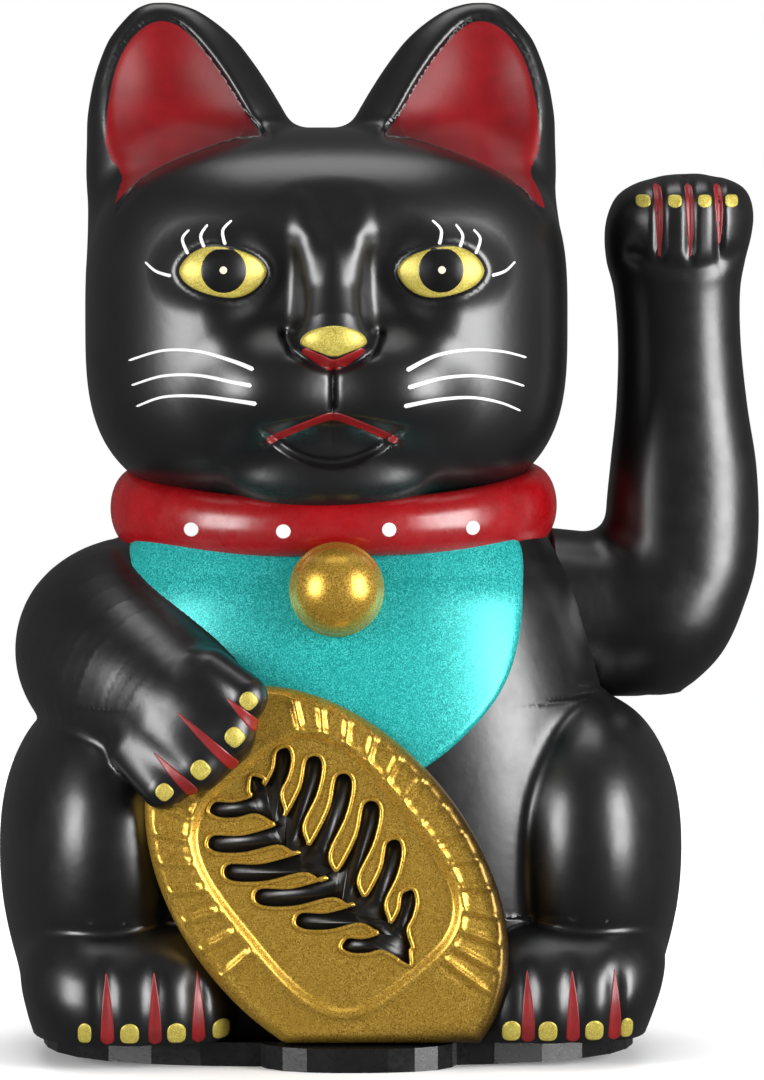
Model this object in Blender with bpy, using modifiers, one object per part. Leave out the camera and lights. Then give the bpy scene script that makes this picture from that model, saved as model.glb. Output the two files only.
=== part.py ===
"""Beckoning cat figurine with a swinging arm, driven by an electromagnetic pendulum and one AA cell.

Metres, +Z up. The origin is the middle of the base plate's underside and the cat looks along -Y.
The sculpted masses are tables on a grid of DESIGN_WIDTH x DESIGN_DEPTH x DESIGN_HEIGHT steps, which the
driving sizes stretch. The mechanism has sizes of its own and hangs on the shoulder axis.
"""

import math

import bmesh
import bpy
from mathutils import Matrix, Vector

MM = 0.001

# ---- driving sizes -------------------------------------------------------------------------------
FIGURE_WIDTH = 0.147
FIGURE_DEPTH = 0.106
FIGURE_HEIGHT = 0.200
DESIGN_WIDTH, DESIGN_DEPTH, DESIGN_HEIGHT = 147.0, 106.0, 200.0
WIDE = FIGURE_WIDTH / DESIGN_WIDTH
DEEP = FIGURE_DEPTH / DESIGN_DEPTH
TALL = FIGURE_HEIGHT / DESIGN_HEIGHT

GAP = 0.3 * MM  # between pieces that touch
WALL = 2.2 * MM  # body shells
ARM_WALL = 1.6 * MM
BASE_HEIGHT = 4.5 * MM
BASE_FLOOR = 2.2 * MM
BASE_RIM = 2.4 * MM
SHELL_BOTTOM = BASE_HEIGHT + GAP
OVERLAP = 1.0 * MM  # of shapes that are joined into one
BEYOND = 20.0 * MM  # how far a cutter runs past what it cuts
FAR = 0.4  # past the whole figure

# ---- shoulder and axle ---------------------------------------------------------------------------
AXIS_Y = 4.0 * DEEP
AXIS_Z = 82.3 * TALL
SHOULDER_X = 41.3 * WIDE  # inner face of the moving arm
ARM_RADIUS = 16.4 * MM  # of the upper arm, round the axle
ELBOW_LOW = 66.3  # lowest ring of the raised arm, in design steps
POCKET_CLEARANCE = 0.8 * MM
POCKET_RADIUS = max(ARM_RADIUS, AXIS_Z - ELBOW_LOW * TALL) + POCKET_CLEARANCE
POCKET_FLOOR_X = SHOULDER_X - 1.0 * MM
AXLE_HOLE_CLEARANCE = 0.8 * MM
AXLE_RADIUS = 1.5 * MM
BORE_RADIUS = AXLE_RADIUS + GAP
HUB_TUBE_RADIUS = AXLE_RADIUS + 2.5 * MM
HUB_TUBE_LENGTH = 15.0 * MM
HUB_FLANGE_THICKNESS = 2.2 * MM
CLIP_RING = 1.8 * MM  # beyond the axle
CLIP_THICKNESS = 0.8 * MM
CLIP_MOUTH = 1.8 * MM

# ---- mechanism frame -----------------------------------------------------------------------------
POST_THICKNESS = 3.0 * MM
POST_WIDTH = 12.0 * MM
POST_SPACING = 19.0 * MM  # clear width between the two posts
BUSH_WALL = 1.4 * MM
BUSH_RADIUS = BORE_RADIUS + BUSH_WALL
BUSH_FLANGE = 0.9 * MM
BUSH_FLANGE_RADIUS = BUSH_RADIUS + 1.2 * MM
OUTER_POST_X = POCKET_FLOOR_X - WALL - 2.2 * MM - POST_THICKNESS  # inner face of the outer post
INNER_POST_X = OUTER_POST_X - POST_SPACING - POST_THICKNESS
MIDDLE_X = OUTER_POST_X - POST_SPACING / 2
SLAB_BOTTOM = 7.0 * MM
SLAB_THICKNESS = 2.2 * MM
SLAB_TOP = SLAB_BOTTOM + SLAB_THICKNESS
SLAB_FRONT = AXIS_Y - 18.0 * MM
SLAB_BACK = AXIS_Y + 11.2 * MM
SLAB_MARGIN = 2.5 * MM  # beyond the posts

# ---- coil and pendulum ---------------------------------------------------------------------------
COIL_RADIUS = POST_SPACING / 2 - 0.6 * MM
COIL_HEIGHT = 8.5 * MM
COIL_CORE = 3.2 * MM
COIL_BORE = 1.8 * MM
COIL_FLANGE = 1.0 * MM
COIL_BOTTOM = SLAB_TOP + GAP
COIL_TOP = COIL_BOTTOM + COIL_HEIGHT
MAGNET_GAP = 2.5 * MM
MAGNET_RADIUS = 6.0 * MM
MAGNET_HEIGHT = 4.7 * MM
MAGNET_BOTTOM = COIL_TOP + MAGNET_GAP
MAGNET_SHOWING = 0.8 * MM  # below its cup
CUP_WALL = 1.1 * MM
CUP_TOP = MAGNET_BOTTOM + MAGNET_HEIGHT + GAP + 2.0 * MM
LEVER_WIDTH = 6.0 * MM  # along Y
LEVER_THICKNESS = 4.0 * MM  # along X
LEVER_HUB_RADIUS = 5.0 * MM
LEVER_HUB_LENGTH = 9.0 * MM
WEIGHT_RADIUS = 8.0 * MM
WEIGHT_LENGTH = 16.0 * MM
WEIGHT_Z = CUP_TOP + 0.6 * MM + WEIGHT_RADIUS

# ---- battery, door and switch --------------------------------------------------------------------
CELL_RADIUS = 7.25 * MM
CELL_LENGTH = 50.5 * MM
CELL_Y = AXIS_Y + 23.0 * MM
CELL_CLEARANCE = 0.6 * MM
TROUGH_WALL = 1.8 * MM
SPRING_ROOM = 3.2 * MM
CONTACT_ROOM = 1.4 * MM
CONTACT_THICKNESS = 0.4 * MM
DOOR_THICKNESS = 1.6 * MM
DOOR_BOTTOM = 0.3 * MM
DOOR_TOP = DOOR_BOTTOM + DOOR_THICKNESS
DOOR_TONGUE = 2.0 * MM
GRIP_COUNT = 5
GRIP_LENGTH, GRIP_WIDTH, GRIP_DEPTH = 14.0 * MM, 0.9 * MM, 0.5 * MM
GRIP_PITCH, GRIP_MARGIN = 1.8 * MM, 3.0 * MM
CELL_Z = DOOR_TOP + GAP + CELL_CLEARANCE + CELL_RADIUS
HOLLOW_HALF_X = (CELL_LENGTH + SPRING_ROOM + CONTACT_ROOM) / 2
HOLLOW_HALF_Y = CELL_RADIUS + CELL_CLEARANCE
HOLLOW_TOP = CELL_Z + CELL_RADIUS + CELL_CLEARANCE
CELL_X = (SPRING_ROOM - CONTACT_ROOM) / 2
SWITCH_X, SWITCH_Y = -38.0 * WIDE, 0.0
SWITCH_TRAVEL = 3.0 * MM
KNOB_SIZE = Vector((4.0, 3.4, 4.4)) * MM
KNOB_BOTTOM = 0.5 * MM
KNOB_FLANGE = Vector((8.0, 5.0, 1.4)) * MM
KNOB_FLANGE_BOTTOM = BASE_FLOOR + 0.6 * MM

# ---- fasteners -----------------------------------------------------------------------------------
SCREW_HEAD_RADIUS = 3.0 * MM
SCREW_HEAD_HEIGHT = 1.6 * MM
SCREW_SHANK_RADIUS = 1.15 * MM
SCREW_LENGTH = 13.0 * MM
SEAT_WALL = 1.6 * MM  # round a sunk screw head
BOSS_RADIUS = 3.6 * MM
BOSS_HEIGHT = 14.0 * MM
RIB_THICKNESS = 2.0 * MM
RIB_REACH = 30.0 * MM
BASE_SCREWS = {
    "base_screw_1": (-38.0 * WIDE, -27.0 * DEEP),
    "base_screw_2": (38.0 * WIDE, -27.0 * DEEP),
    "base_screw_3": (-38.0 * WIDE, 24.0 * DEEP),
    "base_screw_4": (38.0 * WIDE, 24.0 * DEEP),
}
SMALL_HEAD_RADIUS = 2.2 * MM
SMALL_HEAD_HEIGHT = 1.3 * MM
SMALL_SHANK_RADIUS = 0.9 * MM
SMALL_SCREW_LENGTH = 6.0 * MM
SMALL_BOSS_RADIUS = 2.8 * MM

# ---- circuit board and leads ---------------------------------------------------------------------
BOARD_SIZE = Vector((24.0, 20.0, 1.6)) * MM
BOARD_RIGHT = INNER_POST_X - SLAB_MARGIN - 5.0 * MM
BOARD_LOW = Vector((BOARD_RIGHT - BOARD_SIZE.x, -14.0 * MM, 7.5 * MM))
BOARD_HIGH = BOARD_LOW + BOARD_SIZE
BOARD_SCREW_INSET = 3.2 * MM
CAPACITOR_RADIUS = 3.0 * MM
CAPACITOR_HEIGHT = 8.0 * MM
TRANSISTOR_RADIUS = 2.3 * MM
TRANSISTOR_HEIGHT = 4.6 * MM
LEAD_RADIUS = 0.6 * MM

# ---- sculpted masses, in design steps ------------------------------------------------------------
# Loft rings: height, middle x, half width, front y, back y.
TORSO_RINGS = [
    (4.0, 0.4, 51.8, -40.8, 44.3),
    (14.0, 0.4, 54.0, -44.0, 46.0),
    (30.0, 0.4, 54.5, -46.5, 46.0),
    (50.0, 0.4, 53.5, -47.5, 45.0),
    (68.5, 0.2, 50.3, -46.5, 42.0),
    (85.6, 0.0, 46.1, -43.5, 38.5),
    (95.0, -0.4, 43.5, -41.5, 36.5),
    (101.0, -0.8, 41.6, -39.5, 35.0),
    (106.0, -1.4, 37.5, -36.0, 32.0),
    (112.0, -2.0, 30.0, -30.0, 26.0),
]
TORSO_ROUNDNESS = 2.5
HEAD_RINGS = [
    (102.0, -2.4, 27.0, -30.0, 28.0),
    (105.5, -2.4, 35.0, -36.0, 32.5),
    (111.7, -2.4, 41.4, -40.5, 35.5),
    (119.5, -2.4, 44.4, -43.5, 37.5),
    (127.0, -2.4, 45.9, -45.0, 38.5),
    (137.0, -2.4, 46.7, -45.5, 39.0),
    (149.0, -2.4, 46.4, -43.4, 39.0),
    (161.5, -2.4, 43.5, -37.5, 36.5),
    (167.5, -2.4, 38.0, -32.0, 32.5),
    (172.0, -2.4, 30.0, -25.0, 26.0),
    (174.8, -2.4, 20.0, -16.5, 17.5),
    (175.9, -2.4, 8.0, -6.5, 7.5),
]
HEAD_ROUNDNESS = 2.3
HEAD_X = -2.4
MUZZLE = ((0.0, -38.0, 128.0), (21.0, 13.5, 13.0))  # middle from the head's, radii
# Ear rings: height, inner and outer edge from the head's middle, front y, back y.
EAR_RINGS = [
    (158.0, 16.0, 43.0, -20.0, 15.0),
    (166.0, 6.0, 45.2, -16.0, 15.0),
    (174.0, 5.0, 45.0, -12.0, 14.0),
    (181.0, 8.4, 44.5, -9.0, 12.0),
    (187.0, 12.2, 43.2, -6.0, 10.5),
    (193.0, 16.8, 40.8, -3.5, 9.0),
    (197.5, 21.8, 37.0, -1.5, 7.0),
    (200.0, 27.0, 33.0, 0.5, 5.0),
]
EAR_ROUNDNESS = 2.2
EAR_CUP = ((27.5, -21.0, 173.0), (15.5, 16.0, 24.0))
THIGH_RINGS = [
    (9.0, 46.0, 12.0, -30.0, 16.0),
    (16.0, 45.5, 17.0, -41.0, 25.0),
    (28.0, 45.8, 19.4, -47.0, 30.0),
    (40.0, 46.0, 19.6, -49.0, 31.0),
    (50.0, 46.0, 18.6, -47.5, 28.0),
    (58.0, 46.0, 15.6, -43.0, 23.0),
    (63.5, 46.0, 11.5, -37.0, 16.0),
    (67.0, 46.0, 6.0, -29.0, 7.0),
]
THIGH_ROUNDNESS = 2.1
FOOT_RINGS = [
    (4.0, 40.4, 19.8, -52.2, 8.0),
    (8.0, 40.8, 21.2, -54.5, 8.0),
    (15.0, 41.3, 21.2, -54.5, 8.0),
    (21.0, 41.8, 20.0, -51.0, 8.0),
    (26.0, 42.5, 16.5, -45.0, 5.0),
]
FOOT_ROUNDNESS = 2.8
BODY_X = 0.5  # middle of the thighs and feet
# Resting arm: middle of each section and its radius.
RESTING_ARM = [
    ((-34.0, 12.0, 87.0), 6.0),
    ((-38.0, 6.0, 84.0), 14.5),
    ((-42.0, -2.0, 80.0), 18.6),
    ((-43.0, -13.0, 75.5), 18.8),
    ((-38.5, -27.0, 70.0), 17.3),
    ((-30.5, -38.0, 63.5), 15.0),
    ((-25.5, -43.5, 59.0), 12.0),
]
RESTING_PAW = ((-26.0, -44.5, 60.0), (12.5, 9.0, 17.0))
COIN_MIDDLE = (-2.7, -51.5, 36.2)
COIN_HALF_LENGTH, COIN_HALF_WIDTH, COIN_THICKNESS = 38.0, 28.7, 9.0
COIN_TILT_DEG = 51.0
BELL = ((-2.0, -45.0, 89.8), 8.6)
COLLAR_MIDDLE = (-1.6, -2.0, 104.0)
COLLAR_RADII = (38.2, 36.5)
COLLAR_TUBE = (4.6, 6.0)
COLLAR_ROLL_DEG, COLLAR_PITCH_DEG = -2.2, 5.0
# Raised arm rings: height, middle x, half width, half depth.
RAISED_ARM_RINGS = [
    (ELBOW_LOW, 55.5, 5.0, 3.5),
    (69.0, 58.0, 10.0, 8.6),
    (73.0, 60.8, 12.4, 12.4),
    (78.0, 63.2, 13.5, 14.6),
    (84.0, 65.2, 14.2, 15.2),
    (90.5, 66.8, 14.5, 15.0),
    (97.0, 67.3, 14.8, 14.4),
    (104.0, 67.4, 14.6, 13.8),
    (112.0, 67.5, 13.9, 13.2),
    (122.0, 67.3, 12.8, 12.5),
    (134.0, 66.6, 11.8, 11.9),
    (144.0, 66.2, 12.2, 12.2),
    (151.0, 66.0, 13.4, 13.2),
    (158.0, 66.6, 14.2, 14.0),
    (163.0, 67.3, 12.8, 12.6),
    (166.0, 68.0, 8.5, 8.5),
    (167.0, 68.5, 4.0, 4.0),
]
BASE_HALF_X, BASE_FRONT, BASE_BACK = 57.0, -47.0, 44.5
BASE_ROUNDNESS = 2.9
BULGE_MIDDLE_X, BULGE_RADIUS_X, BULGE_FRONT = 2.0, 19.0, -57.0

FINISHES = {
    "gloss_black": ((0.012, 0.012, 0.013), 0.28, 0.0),
    "base_black": ((0.02, 0.02, 0.022), 0.45, 0.0),
    "white_plastic": ((0.72, 0.71, 0.68), 0.5, 0.0),
    "black_plastic": ((0.03, 0.03, 0.03), 0.5, 0.0),
    "steel": ((0.55, 0.55, 0.56), 0.35, 1.0),
    "brass": ((0.70, 0.52, 0.25), 0.35, 1.0),
    "copper": ((0.72, 0.38, 0.20), 0.35, 1.0),
    "board_green": ((0.02, 0.16, 0.07), 0.45, 0.0),
    "magnet": ((0.40, 0.40, 0.42), 0.30, 1.0),
    "cell_label": ((0.10, 0.12, 0.14), 0.35, 0.0),
    "red_lead": ((0.45, 0.03, 0.02), 0.5, 0.0),
    "black_lead": ((0.02, 0.02, 0.02), 0.5, 0.0),
}


# ---- scene and helpers ---------------------------------------------------------------------------
def clear_scene():
    for obj in list(bpy.data.objects):
        bpy.data.objects.remove(obj, do_unlink=True)


def make_collection(name):
    collection = bpy.data.collections.new(name)
    bpy.context.scene.collection.children.link(collection)
    return collection


clear_scene()
PARTS = make_collection("beckoning_cat")
HELPERS = make_collection("cutters")


def material(finish):
    found = bpy.data.materials.get(finish)
    if found:
        return found
    made = bpy.data.materials.new(finish)
    made.use_nodes = True
    colour, roughness, metallic = FINISHES[finish]
    shader = made.node_tree.nodes["Principled BSDF"]
    shader.inputs["Base Color"].default_value = (*colour, 1.0)
    shader.inputs["Roughness"].default_value = roughness
    shader.inputs["Metallic"].default_value = metallic
    return made


def add_mesh(name, build):
    """A helper object whose mesh the function build(bm) fills."""
    mesh = bpy.data.meshes.new(name)
    bm = bmesh.new()
    build(bm)
    bm.normal_update()
    bm.to_mesh(mesh)
    bm.free()
    obj = bpy.data.objects.new(name, mesh)
    obj.hide_render = True
    obj.display_type = "WIRE"
    HELPERS.objects.link(obj)
    return obj


def box(low, high, name="box"):
    low, high = Vector(low), Vector(high)
    size = high - low
    place = Matrix.Translation((low + high) / 2) @ Matrix.Diagonal((*size, 1.0))
    return add_mesh(name, lambda bm: bmesh.ops.create_cube(bm, size=1.0, matrix=place))


AXIS_TURNS = {
    "X": Matrix.Rotation(math.pi / 2, 4, "Y"),
    "Y": Matrix.Rotation(-math.pi / 2, 4, "X"),
    "Z": Matrix.Identity(4),
}


def cylinder(middle, radius, length, axis="Z", segments=20, name="cylinder"):
    place = Matrix.Translation(middle) @ AXIS_TURNS[axis]
    return add_mesh(
        name,
        lambda bm: bmesh.ops.create_cone(
            bm, cap_ends=True, segments=segments, radius1=radius, radius2=radius, depth=length, matrix=place
        ),
    )


def ellipsoid(middle, radii, turn=Matrix.Identity(4), segments=24, name="ellipsoid"):
    place = Matrix.Translation(middle) @ turn @ Matrix.Diagonal((*radii, 1.0))
    return add_mesh(
        name,
        lambda bm: bmesh.ops.create_uvsphere(
            bm, u_segments=segments, v_segments=segments // 2, radius=1.0, matrix=place
        ),
    )


def superellipse(roundness, segments):
    """Unit outline points, counter-clockwise seen from above."""
    points = []
    for step in range(segments):
        angle = 2 * math.pi * step / segments
        c, s = math.cos(angle), math.sin(angle)
        reach = (abs(c) ** roundness + abs(s) ** roundness) ** (-1 / roundness)
        points.append((c * reach, s * reach))
    return points


def skin(rings, name="loft"):
    """A closed solid through rings of equal point count, lowest first."""

    def build(bm):
        rows = [[bm.verts.new(point) for point in ring] for ring in rings]
        for lower, upper in zip(rows, rows[1:]):
            for i, corner in enumerate(lower):
                j = (i + 1) % len(lower)
                bm.faces.new((corner, lower[j], upper[j], upper[i]))
        bm.faces.new(list(reversed(rows[0])))
        bm.faces.new(rows[-1])
        bmesh.ops.recalc_face_normals(bm, faces=bm.faces)

    return add_mesh(name, build)


def loft(table, roundness, mirror_about=None, inset=0.0, open_below=False, segments=26):
    """A solid through superellipse rings given in design steps; inset is a wall, in metres."""
    rings = []
    last = len(table) - 1
    for index, (z, middle_x, half_x, front, back) in enumerate(table):
        if mirror_about is not None:
            middle_x = 2 * mirror_about - middle_x
        height = z * TALL
        if inset and index == last:
            height -= inset
        if inset and index == 0:
            height += -2 * inset if open_below else inset
        half_width = half_x * WIDE - inset
        half_depth = (back - front) * DEEP / 2 - inset
        middle = Vector((middle_x * WIDE, (front + back) * DEEP / 2, height))
        if min(half_width, half_depth) <= 0:
            continue
        rings.append(
            [
                middle + Vector((u * half_width, v * half_depth, 0.0))
                for u, v in superellipse(roundness, segments)
            ]
        )
    return skin(rings)


def limb(stations, inset=0.0, segments=16):
    """A solid through circles square to the path between their middles."""
    middles = [Vector((x * WIDE, y * DEEP, z * TALL)) for (x, y, z), _ in stations]
    rings = []
    for index, middle in enumerate(middles):
        before = middles[max(index - 1, 0)]
        after = middles[min(index + 1, len(middles) - 1)]
        along = (after - before).normalized()
        side = along.cross(Vector((0, 0, 1))).normalized()
        up = side.cross(along)
        radius = stations[index][1] * MM - inset
        angles = [2 * math.pi * step / segments for step in range(segments)]
        rings.append([middle + radius * (math.cos(a) * side + math.sin(a) * up) for a in angles])
    return skin(rings)


def turned(name, profile, middle=(0, 0, 0), axis="Z", closed=False, steps=20):
    """A profile of (radius, height) points, its outer side from top to bottom, turned round an axis."""

    def build(bm):
        verts = [bm.verts.new((radius, 0.0, height)) for radius, height in profile]
        for first, second in zip(verts, verts[1:]):
            bm.edges.new((first, second))
        if closed:
            bm.edges.new((verts[-1], verts[0]))

    obj = add_mesh(name, build)
    screw = obj.modifiers.new("turn", "SCREW")
    screw.axis = "Z"
    screw.angle = 2 * math.pi
    screw.steps = steps
    screw.render_steps = steps
    screw.use_merge_vertices = True
    screw.merge_threshold = 0.00001
    apply_modifiers(obj)
    obj.data.transform(Matrix.Translation(middle) @ AXIS_TURNS[axis])
    return obj


def apply_modifiers(obj):
    graph = bpy.context.evaluated_depsgraph_get()
    mesh = bpy.data.meshes.new_from_object(obj.evaluated_get(graph))
    old = obj.data
    obj.modifiers.clear()
    obj.data = mesh
    bpy.data.meshes.remove(old)


def combine(operation, target, others, solver):
    """A Boolean that uses up the other objects."""
    for other in others:
        step = target.modifiers.new(operation.lower(), "BOOLEAN")
        step.operation = operation
        step.solver = solver
        step.object = other
    apply_modifiers(target)
    for other in others:
        bpy.data.objects.remove(other, do_unlink=True)
    return target


def join(target, *others):
    return combine("UNION", target, others, "EXACT")


def cut(target, *others):
    return combine("DIFFERENCE", target, others, "EXACT")


def shell_join(target, *others):
    """EXACT drops whole masses of the sculpted shells, so these take MANIFOLD."""
    return combine("UNION", target, others, "MANIFOLD")


def shell_cut(target, *others):
    return combine("DIFFERENCE", target, others, "MANIFOLD")


def copy_of(obj):
    twin = obj.copy()
    twin.data = obj.data.copy()
    HELPERS.objects.link(twin)
    return twin


def part(name, obj, finish):
    """Turns a helper into a finished, named piece."""
    obj.name = name
    obj.data.name = name
    obj.hide_render = False
    obj.display_type = "TEXTURED"
    HELPERS.objects.unlink(obj)
    PARTS.objects.link(obj)
    obj.data.materials.clear()
    obj.data.materials.append(material(finish))
    obj.data.shade_smooth()
    obj.data.set_sharp_from_angle(angle=math.radians(35))
    return obj


def design_point(x, y, z):
    return Vector((x * WIDE, y * DEEP, z * TALL))


def design_ellipsoid(shape, middle_x=0.0, side=1, inset=0.0, segments=24):
    (x, y, z), (rx, ry, rz) = shape
    middle = design_point(middle_x + side * x, y, z)
    radii = (rx * WIDE - inset, ry * DEEP - inset, rz * TALL - inset)
    return ellipsoid(middle, radii, segments=segments)


# ---- sculpted body -------------------------------------------------------------------------------
def ear(side):
    table = [(z, HEAD_X + side * (inner + outer) / 2, (outer - inner) / 2, front, back)
             for z, inner, outer, front, back in EAR_RINGS]
    cup = design_ellipsoid(EAR_CUP, HEAD_X, side, segments=14)
    return shell_cut(loft(table, EAR_ROUNDNESS, segments=16), cup)


def collar():
    rings = []
    turn = Matrix.Rotation(math.radians(COLLAR_ROLL_DEG), 4, "Y")
    turn = turn @ Matrix.Rotation(math.radians(COLLAR_PITCH_DEG), 4, "X")
    middle = design_point(*COLLAR_MIDDLE)
    around, section = 32, 8
    for step in range(around):
        angle = 2 * math.pi * step / around
        out = Vector((math.cos(angle) * COLLAR_RADII[0] * WIDE, math.sin(angle) * COLLAR_RADII[1] * DEEP, 0))
        ring = []
        for turn_step in range(section):
            tilt = 2 * math.pi * turn_step / section
            spread = out.normalized() * math.cos(tilt) * COLLAR_TUBE[0] * MM
            rise = Vector((0, 0, math.sin(tilt) * COLLAR_TUBE[1] * MM))
            ring.append(middle + turn @ (out + spread + rise))
        rings.append(ring)

    def build(bm):
        rows = [[bm.verts.new(point) for point in ring] for ring in rings]
        for i, row in enumerate(rows):
            following = rows[(i + 1) % around]
            for j, corner in enumerate(row):
                k = (j + 1) % section
                bm.faces.new((corner, following[j], following[k], row[k]))
        bmesh.ops.recalc_face_normals(bm, faces=bm.faces)

    return add_mesh("collar", build)


def coin():
    turn = Matrix.Rotation(math.radians(COIN_TILT_DEG), 4, "Y") @ AXIS_TURNS["Y"]
    size = Matrix.Diagonal((COIN_HALF_LENGTH * MM, COIN_HALF_WIDTH * MM, COIN_THICKNESS * MM, 1.0))
    place = Matrix.Translation(design_point(*COIN_MIDDLE)) @ turn @ size
    return add_mesh(
        "coin",
        lambda bm: bmesh.ops.create_cone(
            bm, cap_ends=True, segments=36, radius1=1.0, radius2=0.94, depth=1.0, matrix=place
        ),
    )


def masses(inset=0.0):
    """The hollowed masses: torso, head, thighs, feet and resting arm."""
    found = [
        loft(TORSO_RINGS, TORSO_ROUNDNESS, inset=inset, open_below=True),
        loft(HEAD_RINGS, HEAD_ROUNDNESS, inset=inset),
        limb(RESTING_ARM, inset=inset),
    ]
    for side in (-1, 1):
        mirror_about = None if side > 0 else BODY_X / 2
        found.append(loft(THIGH_RINGS, THIGH_ROUNDNESS, mirror_about, inset, segments=20))
        found.append(loft(FOOT_RINGS, FOOT_ROUNDNESS, mirror_about, inset, segments=22))
    return found


def bosses():
    """Screw bosses with a rib to the nearest side wall."""
    found = []
    top = SHELL_BOTTOM + BOSS_HEIGHT
    for x, y in BASE_SCREWS.values():
        outward = math.copysign(1.0, x)
        middle = (x, y, (top - BEYOND) / 2)
        boss = cylinder(middle, BOSS_RADIUS, top + BEYOND, segments=20)
        far = x + outward * RIB_REACH
        low_corner = (min(x, far), y - RIB_THICKNESS / 2, -BEYOND)
        rib = box(low_corner, (max(x, far), y + RIB_THICKNESS / 2, top - OVERLAP))
        found.append(shell_join(boss, rib))
    return found


def shoulder_cylinder(radius, from_x, to_x=FAR, segments=32):
    middle = ((from_x + to_x) / 2, AXIS_Y, AXIS_Z)
    return cylinder(middle, radius, to_x - from_x, "X", segments)


def behind_seam():
    return box((-FAR, AXIS_Y - GAP / 2, -FAR), (FAR, FAR, FAR))


def before_seam():
    return box((-FAR, -FAR, -FAR), (FAR, AXIS_Y + GAP / 2, FAR))


def body_shells():
    solid = masses()
    outer = shell_join(solid[0], *solid[1:])
    muzzle = design_ellipsoid(MUZZLE, HEAD_X, segments=18)
    paw = design_ellipsoid(RESTING_PAW, segments=16)
    outer = shell_join(outer, muzzle, paw)
    outer = shell_join(outer, ear(-1), ear(1), collar(), coin())
    bell_middle, bell_radius = BELL
    outer = shell_join(outer, ellipsoid(design_point(*bell_middle), [bell_radius * MM] * 3, segments=16))
    hollow = masses(WALL)
    hollow = shell_join(hollow[0], *hollow[1:])
    pocket_wall = shoulder_cylinder(POCKET_RADIUS + WALL, POCKET_FLOOR_X - WALL)
    hollow = shell_cut(hollow, *bosses(), pocket_wall)
    shell = shell_cut(outer, hollow, shoulder_cylinder(POCKET_RADIUS, POCKET_FLOOR_X))
    axle_hole = shoulder_cylinder(AXLE_RADIUS + AXLE_HOLE_CLEARANCE, 0.0, segments=16)
    below = box((-FAR, -FAR, -FAR), (FAR, FAR, SHELL_BOTTOM))
    shell = shell_cut(shell, axle_hole, below)
    for x, y in BASE_SCREWS.values():
        hole = cylinder((x, y, SHELL_BOTTOM), SCREW_SHANK_RADIUS + GAP, 2 * SCREW_LENGTH, segments=16)
        shell = shell_cut(shell, hole)
    rear = copy_of(shell)
    shell_cut(shell, behind_seam())
    shell_cut(rear, before_seam())
    part("front_shell", shell, "gloss_black")
    part("rear_shell", rear, "gloss_black")


# ---- raised arm ----------------------------------------------------------------------------------
def raised_arm_solid(inset=0.0):
    depth_middle = AXIS_Y / DEEP
    table = [(z, x, half_x, depth_middle - half_y, depth_middle + half_y)
             for z, x, half_x, half_y in RAISED_ARM_RINGS]
    forearm = loft(table, 2.0, inset=inset, segments=20)
    start = SHOULDER_X + inset
    end = 60.0 * WIDE
    upper = shoulder_cylinder(ARM_RADIUS - inset, start, end, segments=28)
    return shell_join(upper, forearm)


def arm_shells():
    shell = shell_cut(raised_arm_solid(), raised_arm_solid(ARM_WALL))
    hub_middle = (SHOULDER_X, AXIS_Y, AXIS_Z)
    shell_cut(shell, cylinder(hub_middle, HUB_TUBE_RADIUS + GAP, 4 * ARM_WALL, "X", 20))
    rear = copy_of(shell)
    shell_cut(shell, behind_seam())
    shell_cut(rear, before_seam())
    return [
        part("arm_front_shell", shell, "gloss_black"),
        part("arm_rear_shell", rear, "gloss_black"),
    ]


def arm_hub():
    flange_x = SHOULDER_X + ARM_WALL + GAP
    flange_radius = ARM_RADIUS - ARM_WALL - 2 * GAP
    start = SHOULDER_X + GAP
    middle = (start + HUB_TUBE_LENGTH / 2, AXIS_Y, AXIS_Z)
    tube = cylinder(middle, HUB_TUBE_RADIUS, HUB_TUBE_LENGTH, "X", 20)
    flange = shoulder_cylinder(flange_radius, flange_x, flange_x + HUB_FLANGE_THICKNESS, 32)
    bore = cylinder(middle, BORE_RADIUS, 2 * HUB_TUBE_LENGTH, "X", 16)
    return part("arm_hub", cut(join(tube, flange), bore), "white_plastic")


# ---- axle, bushes and pendulum -------------------------------------------------------------------
def ring_profile(inner, outer, half_length):
    return [(inner, half_length), (outer, half_length), (outer, -half_length), (inner, -half_length)]


def axle():
    start = INNER_POST_X - POST_THICKNESS
    end = SHOULDER_X + HUB_TUBE_LENGTH - 1.0 * MM
    middle = ((start + end) / 2, AXIS_Y, AXIS_Z)
    half, chamfer = (end - start) / 2, 0.3 * MM
    profile = [(0, half), (AXLE_RADIUS - chamfer, half), (AXLE_RADIUS, half - chamfer),
               (AXLE_RADIUS, -half + chamfer), (AXLE_RADIUS - chamfer, -half), (0, -half)]
    return part("pivot_axle", turned("axle", profile, middle, "X", steps=16), "steel")


def axle_clips():
    outer = AXLE_RADIUS + CLIP_RING
    half = CLIP_THICKNESS / 2
    found = []
    places = {
        "axle_clip_inner": INNER_POST_X - BUSH_FLANGE - 3 * half,
        "axle_clip_outer": OUTER_POST_X - BUSH_FLANGE - 3 * half,
    }
    for name, x in places.items():
        ring = turned(name, ring_profile(BORE_RADIUS, outer, half), (x, AXIS_Y, AXIS_Z), "X", True, 18)
        mouth = box(
            (x - CLIP_THICKNESS, AXIS_Y - CLIP_MOUTH / 2, AXIS_Z),
            (x + CLIP_THICKNESS, AXIS_Y + CLIP_MOUTH / 2, AXIS_Z + 2 * outer),
        )
        found.append(part(name, cut(ring, mouth), "steel"))
    return found


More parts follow.
